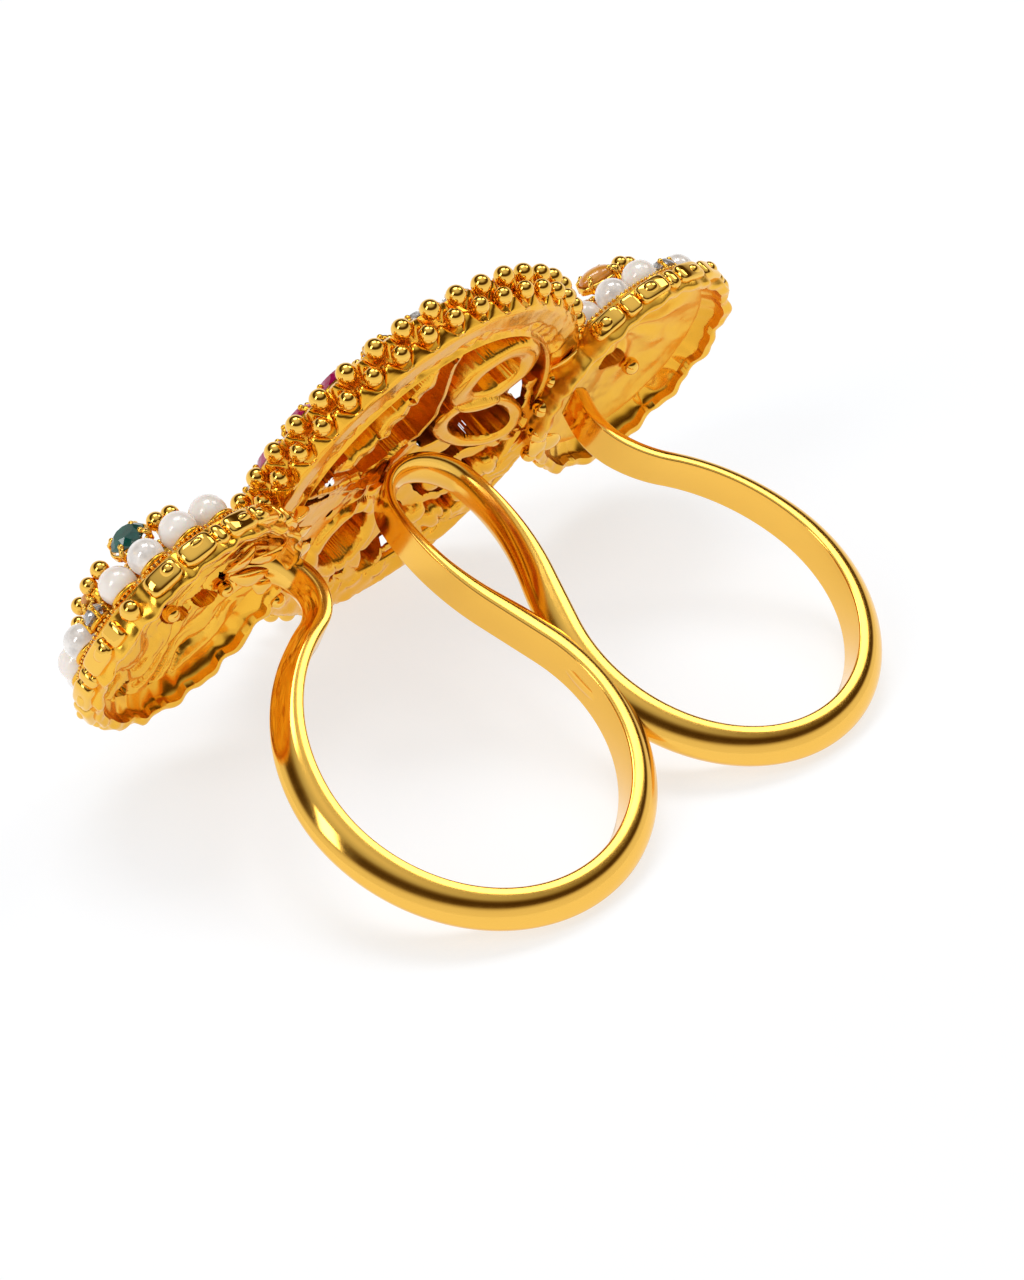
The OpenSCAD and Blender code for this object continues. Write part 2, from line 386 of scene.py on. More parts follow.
# ---------------------------------------------------------------------------
# Band: D section swept along tangent arcs, the same tables as the part's source
# ---------------------------------------------------------------------------
HALF = [(2.3, 80), (15, 29), (0, 3.7)]
LEFT_FOOT = HALF + [(10.1, -211), (12.3, -56), (2.4, 160), (0, 0.9)]
RIGHT_FOOT = HALF + [(10.1, -209), (13, -39), (6.7, 23), (4, 45), (0, 1.2)]
BW, BT = 2.4, 1.9


def turtle(rows, step=0.22):
    x, z, h = 0.0, 0.0, 180.0
    out = [(x, z, h)]
    for r, a in rows:
        if r == 0:
            n = max(2, int(a / step))
            for i in range(1, n + 1):
                out.append((x + a * i / n * math.cos(math.radians(h)), z + a * i / n * math.sin(math.radians(h)), h))
        else:
            s = 1 if a > 0 else -1
            cx, cz = x - s * r * math.sin(math.radians(h)), z + s * r * math.cos(math.radians(h))
            n = max(3, int(abs(a) * math.pi / 180 * r / step), int(abs(a) / 5))
            for i in range(1, n + 1):
                hh = h + a * i / n
                out.append((cx + s * r * math.sin(math.radians(hh)), cz - s * r * math.cos(math.radians(hh)), hh))
            h += a
        x, z, _ = out[-1]
    return np.array(out)


def d_section():
    """Closed outline (offset, y): offset + is the domed outside, - the flat finger side."""
    pts = []
    e = 0.13  # softened edge of the flat
    hw = BW / 2
    base = -BT / 2
    for a in np.linspace(0, 90, 5):  # edge at +y
        pts.append((base + e - e * math.sin(math.radians(90 - a)) * 1.0, hw - e + e * math.sin(math.radians(a))))
    # short side, soft shoulder and a crown that slopes to the middle
    P0, P1, P2, P3 = (hw, 0.72), (hw - 0.03, 1.16), (0.52, BT - 0.05), (0.0, BT)
    half = []
    for q in np.linspace(0, 1, 15):
        w = ((1 - q) ** 3, 3 * q * (1 - q) ** 2, 3 * q * q * (1 - q), q ** 3)
        half.append((base + sum(k * c[1] for k, c in zip(w, (P0, P1, P2, P3))), sum(k * c[0] for k, c in zip(w, (P0, P1, P2, P3)))))
    pts += [(base + 0.3, hw + 0.02), (base + 0.5, hw + 0.02)]
    pts += half + [(o, -y) for o, y in half[-2::-1]]
    pts += [(base + 0.5, -hw - 0.02), (base + 0.3, -hw - 0.02)]
    for a in np.linspace(90, 0, 5):
        pts.append((base + e - e * math.sin(math.radians(90 - a)), -(hw - e + e * math.sin(math.radians(a)))))
    return np.array(pts)


def sweep_band(b, rows, mirror):
    P = turtle(rows)
    S = d_section()
    h = np.radians(P[:, 2])
    nx, nz = -np.sin(h), np.cos(h)  # left of travel, the domed side
    L = np.r_[0, np.cumsum(np.hypot(*np.diff(P[:, :2], axis=0).T))]
    t = 1.0 + 0.9 * sstep(3.0, 13.5, L) - 0.45 * sstep(L[-1] - 22, L[-1] - 8, L)
    O = -BT / 2 + (S[None, :, 0] + BT / 2) * (t / BT)[:, None]
    X = P[:, None, 0] + O * nx[:, None]
    Z = P[:, None, 1] + O * nz[:, None]
    Y = np.broadcast_to(S[None, :, 1], X.shape)
    if mirror:
        X = -X
    V = np.stack([X, Y, Z], -1)
    n, m = V.shape[:2]
    n0 = b.n
    b.add(V.reshape(-1, 3), grid_faces(n, m, wrap_v=True, flip=not mirror))
    # close the foot's end with a slightly domed cap
    c = V[-1].mean(0) + 0.12 * np.array([math.cos(h[-1]) * (-1 if mirror else 1), 0, math.sin(h[-1])])
    b.add([c], np.zeros((0, 3), int))
    k = np.arange(m)
    tri = np.stack([np.full(m, b.n - 1), n0 + (n - 1) * m + k, n0 + (n - 1) * m + (k + 1) % m], 1)
    b.f.append(tri if not mirror else tri[:, ::-1])
    b.m.append(np.zeros(m, int))


bb = Build()
sweep_band(bb, LEFT_FOOT, False)
sweep_band(bb, RIGHT_FOOT, True)
band = bb.make("band", gold_band, "gold", replaces=("ring_frame",))


# ---------------------------------------------------------------------------
# A closed plate between a back surface and a front surface on one polar grid
# ---------------------------------------------------------------------------
def plate(b, radii, nt, back, front, rim=None, mats=(0, 0), snap_to=None):
    """back(x, y) and front(x, y) give z; the outer edges are joined by rim's rows (r, z)."""
    t = np.linspace(0, 2 * np.pi, nt, endpoint=False)
    R, T = np.meshgrid(radii, t, indexing="ij")
    X, Y = R * np.cos(T), R * np.sin(T)
    if snap_to:
        f, rmax = snap_to
        X2, Y2 = snap(X, Y, f, 0.062)
        ok = (R < rmax) & (R > 1.0)
        X, Y = np.where(ok, X2, X), np.where(ok, Y2, Y)
    zb, zf = back(X, Y), front(X, Y)
    zb = np.minimum(zb, zf - 0.25)
    nr = len(radii)
    Vb = np.stack([X, Y, zb], -1)
    Vf = np.stack([X, Y, zf], -1)
    b.add(Vb.reshape(-1, 3), grid_faces(nr, nt, wrap_v=True, flip=True), mats[0])
    nb0 = b.n - nr * nt
    b.add(Vf.reshape(-1, 3), grid_faces(nr, nt, wrap_v=True), mats[1])
    nf0 = b.n - nr * nt
    k = np.arange(nt)
    # centre fans
    b.add([[0, 0, float(zb[0].mean())], [0, 0, float(zf[0].mean())]], np.zeros((0, 3), int))
    b.f.append(np.stack([np.full(nt, b.n - 2), nb0 + (k + 1) % nt, nb0 + k], 1))
    b.f.append(np.stack([np.full(nt, b.n - 1), nf0 + k, nf0 + (k + 1) % nt], 1))
    b.m += [np.full(nt, mats[0]), np.full(nt, mats[1])]
    # rim
    rows = [nb0 + (nr - 1) * nt + k]
    if rim is not None:
        for rr, zz in rim(t):
            b.add(np.stack([rr * np.cos(t), rr * np.sin(t), zz], -1), np.zeros((0, 4), int))
            rows.append(b.n - nt + k)
    rows.append(nf0 + (nr - 1) * nt + k)
    for a, c in zip(rows[:-1], rows[1:]):
        b.f.append(np.stack([a, a[(k + 1) % nt], c[(k + 1) % nt], c], 1))
        b.m.append(np.full(nt, mats[0]))


# ---------------------------------------------------------------------------
# Middle plaque
# ---------------------------------------------------------------------------
w1, w2, w3, w4 = Waves(6.0, 1), Waves(2.2, 2), Waves(1.1, 3), Waves(3.2, 4)


def sd_poly(x, y, P):
    d, _ = seg_dist(x, y, list(P) + [P[0]])
    inside = np.zeros(np.shape(x), bool)
    n = len(P)
    for i in range(n):
        (x0, y0), (x1, y1) = P[i], P[(i + 1) % n]
        if y0 == y1:
            continue
        hit = ((y0 > y) != (y1 > y)) & (x < (x1 - x0) * (y - y0) / (y1 - y0) + x0)
        inside ^= hit
    return np.where(inside, -d, d)


def sd_ell(x, y, cx, cy, a, b, rot):
    c, s = math.cos(math.radians(rot)), math.sin(math.radians(rot))
    u, v = (x - cx) * c + (y - cy) * s, -(x - cx) * s + (y - cy) * c
    return (np.hypot(u / a, v / b) - 1) * min(a, b)


# Pierced back: listed routes and rings, mm from the plaque's centre.
RINGS = [  # centre, outer and inner half axes, turn
    (4.4, -5.3, 3.1, 3.0, 1.6, 1.5, 0),
    (5.1, -0.6, 4.1, 2.2, 2.9, 1.35, 30),
    (-4.0, 5.0, 3.1, 3.0, 1.95, 1.9, 0),
]
BLADE = [(-9.6, -2.6), (-6.2, -1.1), (-4.4, -0.7), (-0.9, -0.5), (0.7, -1.0), (1.1, -2.9), (0.4, -5.8), (-0.5, -8.4), (-0.7, -9.9)]
SATIN = [(-11, -2.2), (-6.2, -0.3), (-3.0, 1.2), (-0.4, 2.4), (0.8, 4.6), (0.2, 6.8), (-1.3, 8.0), (-1.2, 10.6), (-8, 9), (-12, 3)]
STRIPS = [
    ([(-7.8, -2.2), (-5.1, -0.5), (-2.7, 0.9), (-0.6, 1.2)], 0.75),
    ([(-0.6, 1.2), (1.4, 1.6), (3.2, 1.2)], 0.8),
    ([(-0.6, 1.2), (0.6, 3.6), (2.4, 5.6), (3.6, 9.9)], 0.55),
    ([(5.0, 2.9), (6.6, 3.0), (8.6, 2.7), (10.2, 2.2)], 0.42),
    ([(5.0, 2.9), (5.3, 3.9)], 0.35),
    ([(5.3, 3.9), (6.4, 5.6), (7.8, 7.2)], 0.35),
    ([(2.4, 5.6), (4.6, 6.0), (6.4, 5.6)], 0.35),
    ([(8.6, -2.4), (9.2, 0.2), (10, 1.6)], 0.3),
    ([(0.2, 9.9), (0.9, 8.9), (3.2, 8.4)], 0.3),
    ([(-7.4, -3.6), (-5.4, -3.9), (-4.2, -5.0), (-3.2, -6.6), (-2.4, -8.6), (-2.2, -9.9)], 0.38),
]
LEDGE = [(-5.6, -4.1, 1.9, 0.62, -32), (-3.9, -6.1, 1.7, 0.66, -58), (-2.7, -8.2, 1.4, 0.55, -70)]  # centre, half axes, turn
DOTS = [(7.6, 4.6, 0.95), (6.2, 6.3, 0.85), (4.2, 7.6, 0.9), (8.8, 5.4, 0.7), (2.6, 6.6, 0.8), (5.4, 8.2, 0.7), (3.4, 4.2, 0.8), (1.9, 8.6, 0.6)]
HOLES = [(-6.0, 1.6, 0.28), (-3.7, 8.7, 0.2), (-3.3, 8.65, 0.2), (-2.9, 8.6, 0.2), (-7.4, 3.2, 0.35), (-1.3, 6.6, 0.35), (-6.6, 6.6, 0.3)]


def metal(x, y):
    """Below 0 inside the pierced back's metal."""
    d = np.full(np.shape(x), 9.0)
    s = sd_poly(x, y, SATIN)
    for cx, cy, r in HOLES:
        s = np.maximum(s, r - np.hypot(x - cx, y - cy))
    s = np.maximum(s, -sd_ell(x, y, -4.0, 5.0, 1.95, 1.9, 0))
    d = np.minimum(d, s)
    for cx, cy, a, b, ai, bi, rot in RINGS[:2]:
        d = np.minimum(d, np.maximum(sd_ell(x, y, cx, cy, a, b, rot), -sd_ell(x, y, cx + 0.1, cy + 0.05, ai, bi, rot)))
    # ring A lies over B's edge
    for P, w in STRIPS:
        e, _ = seg_dist(x, y, P)
        d = np.minimum(d, e - w - 0.10 * w2(x * 1.3, y * 1.3))
    e, _ = seg_dist(x, y, BLADE)
    d = np.minimum(d, e - 0.15)
    for cx, cy, r in DOTS:
        d = np.minimum(d, np.hypot(x - cx, y - cy) - r)
    for cx, cy, a, c, turn in LEDGE:
        d = np.minimum(d, sd_ell(x, y, cx, cy, a, c, turn))
    d = np.minimum(d, np.hypot(x + 0.6, y - 1.0) - 2.0 - 0.2 * w2(x, y))
    # holes stay open under every other part
    d = np.maximum(d, -sd_ell(x, y, -4.0, 5.0, 1.95, 1.9, 0))
    d = np.maximum(d, -sd_ell(x, y, 4.35, -5.3, 1.6, 1.5, 0))
    return d


def wavy(x, y):
    t = np.arctan2(y, x)
    return 0.16 * np.sin(7 * t + 0.5) + 0.10 * np.sin(13 * t + 2) + 0.07 * np.sin(29 * t)


def mid_back(x, y):
    r, t = np.hypot(x, y), np.arctan2(y, x)
    far = 0.5 + 0.5 * np.cos(t - math.radians(55))  # 1 on the side away from the front edge
    q = wavy(x, y)
    z = np.interp(r, [0, 3.0, 6.0, 8.3, 9.2, 9.55, 9.72, 9.82, 9.92, 10.02, 10.2, 10.6 , 12.0, 12.2, 12.32],
                  [4.3, 4.15, 3.8, 3.3, 2.9, 2.4, 1.2, 0.30, 0.10, 0.06, 0.22, 0.12, 0.0, 0.03, 0.2])
    k = 1 - sstep(8.8, 9.5, r)
    # hammered floor with petal shaped lumps
    z = z - k * (0.28 * np.abs(w2(x * 1.1, y * 1.1)) + 0.35 * np.clip(w1(y, x), 0, 1) + 0.05 * w3(x, y))
    # melted looking inner border of the flange
    e = sstep(10.05, 10.3, r) * (1 - sstep(10.75 + q, 11.05 + q, r))
    z = z + e * (0.10 + 0.09 * w2(x * 1.5, y * 1.5) + 0.05 * w3(x, y))
    # leaf ribs across the flange on the far side
    rib = np.abs(np.sin(17 * t + 1.6 * r))
    z = z + far ** 2 * sstep(10.1, 10.5, r) * (0.16 * (1 - rib) ** 2 + 0.10 * w2(x, y))
    z = z + 0.012 * w2(x, y) * sstep(10.8, 11.2, r)
    # metal of the pierced back
    d = metal(x, y)
    top = 1.5 - 0.14 * r
    top = top + 0.06 * np.clip(1 + d / 0.22, 0, 1) ** 2 + 0.02 * w2(x, y)
    rough = np.clip(1 - np.hypot(x + 2.2, y - 0.6) / 4.2, 0, 1)
    top = top + rough * (0.24 * w2(x * 1.6, y * 1.6) - 0.12) * sstep(0.0, 0.35, -d)
    for cx, cy, rr in DOTS:
        h = np.clip(1 - ((x - cx) ** 2 + (y - cy) ** 2) / rr ** 2, 0, 1)
        top = top - 0.55 * rr * np.sqrt(h)
    for cx, cy, a, c, turn in LEDGE:
        q = math.radians(turn)
        u, v = (x - cx) * math.cos(q) + (y - cy) * math.sin(q), -(x - cx) * math.sin(q) + (y - cy) * math.cos(q)
        h = np.clip(1 - (u / a) ** 2 - (v / c) ** 2, 0, 1)
        top = top - 0.34 * np.sqrt(h) * (1 + 0.25 * np.sin(4 * u)) + 0.10 * np.exp(-(v / 0.12) ** 2) * h
    # each ring has a raised, rounded wire round its hole
    for cx, cy, a, c, ai, ci, turn in RINGS:
        e = sd_ell(x, y, cx, cy, 0.5 * (a + ai), 0.5 * (c + ci), turn)
        wd = 0.5 * (min(a, c) - min(ai, ci))
        top = top - 0.42 * np.sqrt(np.clip(1 - (e / wd) ** 2, 0, 1))
    eb, sb = seg_dist(x, y, BLADE)
    top = np.where(eb < 0.15, top - 0.10, top)
    # the far part of the satin plate carries slanting leaf strokes
    leaf = np.abs(np.sin(3.2 * (x * 0.8 - y * 0.6) + 0.8 * w1(x, y)))
    top = top + 0.20 * (1 - leaf) ** 2 * sstep(7.2, 8.4, r) * (y > 2)
    inside = (d <= 0.0) & (r < 9.9)
    return np.where(inside, np.minimum(top, z), z)


def mid_front(x, y):
    r, t = np.hypot(x, y), np.arctan2(y, x)
    z = np.interp(r, [0, 3.0, 5.5, 8.2, 9.2, 9.5, 9.7, 11.6, 11.9, 12.32], [5.3, 5.15, 4.75, 3.85, 3.4, 3.0, 2.55, 2.5, 2.45, 2.3])
    # twelve petals between r 3.2 and 8.8, each with a midrib
    n = 12
    u = (t * n / (2 * np.pi)) % 1.0 - 0.5
    prof = np.sin(np.clip((r - 3.0) / 5.8, 0, 1) * np.pi) ** 0.7
    half = 0.46 * prof
    inside = np.clip(1 - (np.abs(u) / np.maximum(half, 1e-3)) ** 2, 0, 1)
    z = z + 0.42 * np.sqrt(inside) * prof + 0.14 * np.exp(-(u * 9) ** 2) * prof
    return z + 0.02 * w3(x, y)


def snap(X, Y, f, h):
    """Moves grid points near the outline of f onto it."""
    e = 1e-3
    for _ in range(2):
        d = f(X, Y)
        gx, gy = (f(X + e, Y) - d) / e, (f(X, Y + e) - d) / e
        g = np.maximum(np.hypot(gx, gy), 0.3)
        m = np.abs(d) < h
        X = np.where(m, X - (d + 1e-4) * gx / g ** 2, X)
        Y = np.where(m, Y - (d + 1e-4) * gy / g ** 2, Y)
    return X, Y


def cut(ob, cutter):
    m = ob.modifiers.new("pierced", "BOOLEAN")
    m.operation = "DIFFERENCE"
    m.solver = "EXACT"
    m.object = cutter
    bpy.context.view_layer.update()
    dg = bpy.context.evaluated_depsgraph_get()
    me = bpy.data.meshes.new_from_object(ob.evaluated_get(dg))
    ob.modifiers.clear()
    ob.data = me


def sharp(ob, deg):
    ob.data.set_sharp_from_angle(angle=math.radians(deg))


radii = np.r_[np.linspace(0.35, 9.75, 85), np.linspace(9.83, 12.32, 29)]
mb = Build()
plate(mb, radii, 416, mid_back, mid_front, lambda t: [(np.full_like(t, 12.34), np.full_like(t, 0.8)), (np.full_like(t, 12.34), np.full_like(t, 1.6))], snap_to=(metal, 9.6))
middle = mb.make("middle_plaque_body", gold_cast, "gold", at=MID)

# Rim: two rows of beads on tapered seats, the rows half a pitch apart.
N_ROW = 42
PITCH = 2 * np.pi / N_ROW
A0 = math.radians(-93.0)


def rim_wall():
    """Scalloped wall: a seat narrowing to each bead, with a sharp notch between two seats."""
    b = Build()
    per = 24
    nt = N_ROW * per
    t = np.linspace(0, 2 * np.pi, nt, endpoint=False)
    u1 = ((t - A0 - PITCH / 2) / PITCH) % 1.0 - 0.5  # back row, 0 at a bead
    u2 = ((t - A0) / PITCH) % 1.0 - 0.5
    spike = np.exp(-((0.5 - np.abs(u1)) / 0.10) ** 2)
    rows = []
    #    z     r      seat1 width1 seat2 width2 spike
    for z, r, a1, b1, a2, b2, sp in (
        (0.02, 11.90, 0.12, 0.50, 0.0, 0.3, 0.05),
        (0.06, 12.12, 0.20, 0.50, 0.0, 0.3, 0.20),
        (0.14, 12.10, 0.30, 0.49, 0.0, 0.3, 0.20),
        (0.26, 12.02, 0.46, 0.46, 0.0, 0.3, 0.10),
        (0.42, 11.98, 0.62, 0.40, 0.0, 0.3, 0.02),
        (0.60, 11.98, 0.72, 0.33, 0.0, 0.3, 0),
        (0.80, 12.00, 0.74, 0.27, 0.0, 0.3, 0),
        (1.00, 12.02, 0.70, 0.24, 0.15, 0.45, 0),
        (1.20, 12.05, 0.40, 0.24, 0.35, 0.40, 0),
        (1.45, 12.08, 0.10, 0.24, 0.60, 0.33, 0),
        (1.70, 12.12, 0.0, 0.24, 0.85, 0.27, 0),
        (1.95, 12.15, 0.0, 0.24, 0.90, 0.24, 0),
        (2.15, 12.10, 0.0, 0.24, 0.70, 0.26, 0),
        (2.35, 12.00, 0.0, 0.24, 0.20, 0.3, 0),
    ):
        k1 = np.sqrt(np.clip(1 - (np.abs(u1) / b1) ** 2, 0, 1))
        k2 = np.sqrt(np.clip(1 - (np.abs(u2) / b2) ** 2, 0, 1))
        rr = r + np.maximum(a1 * k1, a2 * k2) + sp * spike
        rows.append(np.stack([rr * np.cos(t), rr * np.sin(t), np.full_like(t, z)], -1))
    for z, r in ((2.2, 11.7), (0.25, 11.7)):
        rows.append(np.stack([r * np.cos(t), r * np.sin(t), np.full_like(t, z)], -1))
    b.add(np.stack(rows).reshape(-1, 3), grid_faces(len(rows), nt, wrap_u=True, wrap_v=True, flip=True))
    return b


wall = rim_wall().make("middle_rim_wall", gold_wall, "gold", at=MID)
rw = Build()
for k in range(N_ROW):
    a = A0 + k * PITCH
    j = rng.normal(0, 0.03, 3)
    ball(rw, (13.12 * math.cos(a) + j[0], 13.12 * math.sin(a) + j[1], 1.92 + 0.5 * j[2]), 0.60 + 0.15 * j[2], (26, 16), 0)
    a = A0 + (k + 0.5) * PITCH
    j = rng.normal(0, 0.03, 3)
    ball(rw, (12.88 * math.cos(a) + j[0], 12.88 * math.sin(a) + j[1], 0.86 + 0.5 * j[2]), 0.55 + 0.15 * j[2], (26, 16), 0)
rw.make("middle_rim_beads", gold_bead, "gold", at=MID)

# Piercings that let light through the back, the wall and the dome, cut along the photo's line of sight.
M = np.array([[0.6937, -0.3067, -0.6517], [-0.4054, 0.5816, -0.7052], [0.5953, 0.7534, 0.2791]])
CAM_AT = np.array([-99.7, -123.19, -57.45])


GAPS = []


def clear(c, r):
    """False where a ball of radius r at c, in the middle plaque's own mm, would stand in a sight gap."""
    q = M @ (np.asarray(c, float) + MID - CAM_AT)
    u, v = 512 + 2896.94 * q[0] / q[2], 640 + 2896.94 * q[1] / q[2]
    return all(math.hypot(u - gu, v - gv) > gr + 18 * r for gu, gv, gr in GAPS)


def tunnel(b, poly, z0, z1):
    rows = []
    cx, cy = np.mean(poly, axis=0)
    GAPS.append((cx, cy, 0.7 * max(math.hypot(a - cx, c - cy) for a, c in poly)))
    for z in (z0, z1):
        for px, py in poly:
            d = M.T @ np.array([(px - 512) / 2896.94, (py - 640) / 2896.94, 1.0])
            rows.append(CAM_AT + d * (z - CAM_AT[2]) / d[2])
    V = np.array(rows)
    n = len(poly)
    k = np.arange(n)
    k2 = (k + 1) % n
    n0 = b.n
    b.add(V, np.stack([k, k2, k2 + n, k + n], 1))
    b.add([V[:n].mean(0), V[n:].mean(0)], np.zeros((0, 3), int))
    b.f.append(np.stack([np.full(n, b.n - 2), n0 + k2, n0 + k], 1))
    b.f.append(np.stack([np.full(n, b.n - 1), n0 + n + k, n0 + n + k2], 1))
    b.m += [np.zeros(n, int), np.zeros(n, int)]


tb = Build()
tunnel(tb, [(455, 431), (459, 422), (465, 418), (472, 427), (472, 433), (463, 434)], 2.0, 9.5)
tunnel(tb, [(507, 394), (512, 384), (521, 374), (522, 384), (520, 396), (513, 400)], 0.55, 7.0)
tunnel(tb, [(379, 537), (386, 532), (395, 529), (392, 540), (386, 552), (381, 546)], 0.5, 7.0)
tunnel(tb, [(322, 484), (328, 477), (334, 476), (337, 482), (333, 489), (326, 489)], 1.6, 7.0)
tunnel(tb, [(416, 444), (420, 438), (425, 437), (426, 443), (422, 447)], 2.0, 7.0)
V = W(np.vstack(tb.v))
me = bpy.data.meshes.new("cutter")
me.from_pydata(V.tolist(), [], [f for blk in tb.f for f in blk.tolist()])
me.update()
bm = bmesh.new()
bm.from_mesh(me)
bmesh.ops.recalc_face_normals(bm, faces=bm.faces)
bm.to_mesh(me)
bm.free()
cutter = bpy.data.objects.new("cutter", me)
bpy.context.scene.collection.objects.link(cutter)
for ob in (middle, wall):
    cut(ob, cutter)
bpy.data.objects.remove(cutter)


def open_skin(ob, cells):
    """Takes away the faces in front of a tunnel's start; cells holds (u, v, half axes, highest z)."""
    co = np.empty(len(ob.data.vertices) * 3)
    ob.data.vertices.foreach_get("co", co)
    P = (co.reshape(-1, 3) * 1000.0 - DROP) @ ROT
    q = (P - CAM_AT) @ M.T
    uv = 512 + 2896.94 * q[:, 0] / q[:, 2], 640 + 2896.94 * q[:, 1] / q[:, 2]
    bm = bmesh.new()
    bm.from_mesh(ob.data)
    gone = []
    for f in bm.faces:
        i = [v.index for v in f.verts]
        u, v, z = uv[0][i].mean(), uv[1][i].mean(), P[i, 2].mean()
        if any(math.hypot((u - cu) / a, (v - cv) / b) < 1 and 0.2 < z < top for cu, cv, a, b, top in cells):
            gone.append(f)
    bmesh.ops.delete(bm, geom=gone, context="FACES")
    bm.to_mesh(ob.data)
    bm.free()


open_skin(middle, [(465, 428, 8.5, 8, 2.1), (329, 482, 5.5, 5, 1.7), (421, 442, 5, 5, 2.1)])
sharp(middle, 42)
sharp(wall, 50)


# cut stones
def gem(b, c, axes, sx, sy, h, n=12, mat=0, table=0.58, cull=0.5):
    """Faceted stone: table, crown, girdle and pavilion of n sides, long along its own x."""
    rings = [(table, h), (0.86, 0.62 * h), (1.0, 0.36 * h), (1.0, 0.24 * h), (0.5, -0.25 * h)]
    V = []
    for i, (s, z) in enumerate(rings):
        off = math.pi / n * (i % 2 if i < 3 else 0)
        for k in range(n):
            a = 2 * math.pi * k / n + off
            V.append((s * sx * math.cos(a), s * sy * math.sin(a), z))
    V.append((0, 0, h))
    V.append((0, 0, -0.45 * h))
    V = np.array(V) @ np.asarray(axes).T + np.asarray(c)
    F3 = []
    for k in range(n):
        k2 = (k + 1) % n
        F3.append((len(rings) * n, k, k2))
        F3 += [(k, n + k, k2), (k2, n + k, n + k2)]
        F3 += [(n + k, 2 * n + k2, n + k2), (n + k, 2 * n + k, 2 * n + k2)]
        F3 += [(2 * n + k, 3 * n + k, 3 * n + k2), (2 * n + k, 3 * n + k2, 2 * n + k2)]
        F3 += [(3 * n + k, 4 * n + k, 4 * n + k2), (3 * n + k, 4 * n + k2, 3 * n + k2)]
        F3.append((len(rings) * n + 1, 4 * n + k2, 4 * n + k))
    b.add(V, F3, mat)


def bezel(b, c, axes, sx, sy, h, prongs=4, n=28, w=0.16, mat=0, pr=0.17):
    """Collar round a stone with prongs bent over its girdle."""
    t = np.linspace(0, 2 * np.pi, n, endpoint=False)
    rows = []
    for k, z in ((1.0, -0.35 * h), (1.04, 0.1 * h), (1.0, 0.3 * h), (0.93, 0.3 * h), (0.9, -0.3 * h)):
        rows.append(np.stack([(sx + w) * k * np.cos(t), (sy + w) * k * np.sin(t), np.full_like(t, z)], -1))
    V = np.stack(rows) @ np.asarray(axes).T + np.asarray(c)
    b.add(V.reshape(-1, 3), grid_faces(len(rows), n, wrap_u=True, wrap_v=True, flip=True), mat)
    for k in range(prongs):
        a = 2 * math.pi * (k + 0.5) / prongs
        P = [((sx + w) * 1.02 * math.cos(a), (sy + w) * 1.02 * math.sin(a), -0.3 * h), ((sx + w) * 1.02 * math.cos(a), (sy + w) * 1.02 * math.sin(a), 0.45 * h),
             (sx * 0.9 * math.cos(a), sy * 0.9 * math.sin(a), 0.8 * h)]
        P = np.array(P) @ np.asarray(axes).T + np.asarray(c)
        tube(b, P, [pr, pr, pr * 0.85], 8, mat)
        ball(b, P[-1], pr * 1.15, (10, 6), mat)


# Front of the middle plaque: a belt of stones in groups of three, petals and a central ruby.
ft = Build()  # gold trim
rb, db = Build(), Build()
for k in range(24):
    a = math.radians(-131 + 15 * k)
    slope = 0.25
    n = np.array([slope * math.cos(a), slope * math.sin(a), 1.0])
    n /= np.linalg.norm(n)
    rad = np.array([math.cos(a), math.sin(a), 0])
    tan = np.array([-math.sin(a), math.cos(a), 0])
    ax = np.stack([tan, np.cross(n, tan), n], 1)
    c = 10.9 * rad + np.array([0, 0, 2.72])
    red = k in (22, 23, 0, 4, 5, 6, 10, 11, 12, 16, 17, 18)
    if not clear(c, 0.7):
        continue
    if red:
        gem(rb, c, ax, 1.22, 0.92, 0.62, 14)
        bezel(ft, c - 0.1 * n, ax, 1.18, 0.88, 0.7, 4, mat=0)
    else:
        gem(db, c, ax, 0.80, 0.80, 0.5, 12)
        bezel(ft, c - 0.1 * n, ax, 0.82, 0.82, 0.6, 4, mat=0)
    # grains between
    am = a + math.radians(7.5)
    ball(ft, (10.1 * math.cos(am), 10.1 * math.sin(am), 2.6), 0.3, (16, 10), 1)
t = np.linspace(0, 2 * np.pi, 240, endpoint=False)
for rr, zz, rad_ in ((2.95, 5.35, 0.2),):
    tube(ft, np.stack([rr * np.cos(t), rr * np.sin(t), np.full_like(t, zz)], -1), rad_, 8, 0, closed=True)
for k in range(110):
    a = 2 * math.pi * k / 110
    if clear((9.2 * math.cos(a), 9.2 * math.sin(a), 3.38), 0.18):
        ball(ft, (9.2 * math.cos(a), 9.2 * math.sin(a), 3.38), 0.18, (10, 6), 1)
for k in range(12):
    a = 2 * math.pi * (k + 0.5) / 12
    if clear((8.5 * math.cos(a), 8.5 * math.sin(a), 3.75), 0.38):
        ball(ft, (8.5 * math.cos(a), 8.5 * math.sin(a), 3.75), 0.38, (16, 10), 1)
    a = 2 * math.pi * k / 12
    for rr, zz, q in ((8.2, 3.95, 0.26), (7.5, 4.3, 0.22), (6.8, 4.5, 0.18)):
        if clear((rr * math.cos(a), rr * math.sin(a), zz), q):
            ball(ft, (rr * math.cos(a), rr * math.sin(a), zz), q, (12, 8), 1)
for k in range(26):
    a = 2 * math.pi * k / 26
    ball(ft, (2.45 * math.cos(a), 2.45 * math.sin(a), 5.42), 0.27, (12, 8), 1)
fr = ft.make("middle_front_trim", [gold_cast, gold_bead], "gold", at=MID)
rb.make("middle_belt_rubies", ruby, "ruby", at=MID, smooth=False)
db.make("middle_belt_diamonds", diamond, "crystal", at=MID, smooth=False)
cr = Build()
gem(cr, (0, 0, 5.45), np.eye(3), 2.0, 2.0, 1.35, 16)
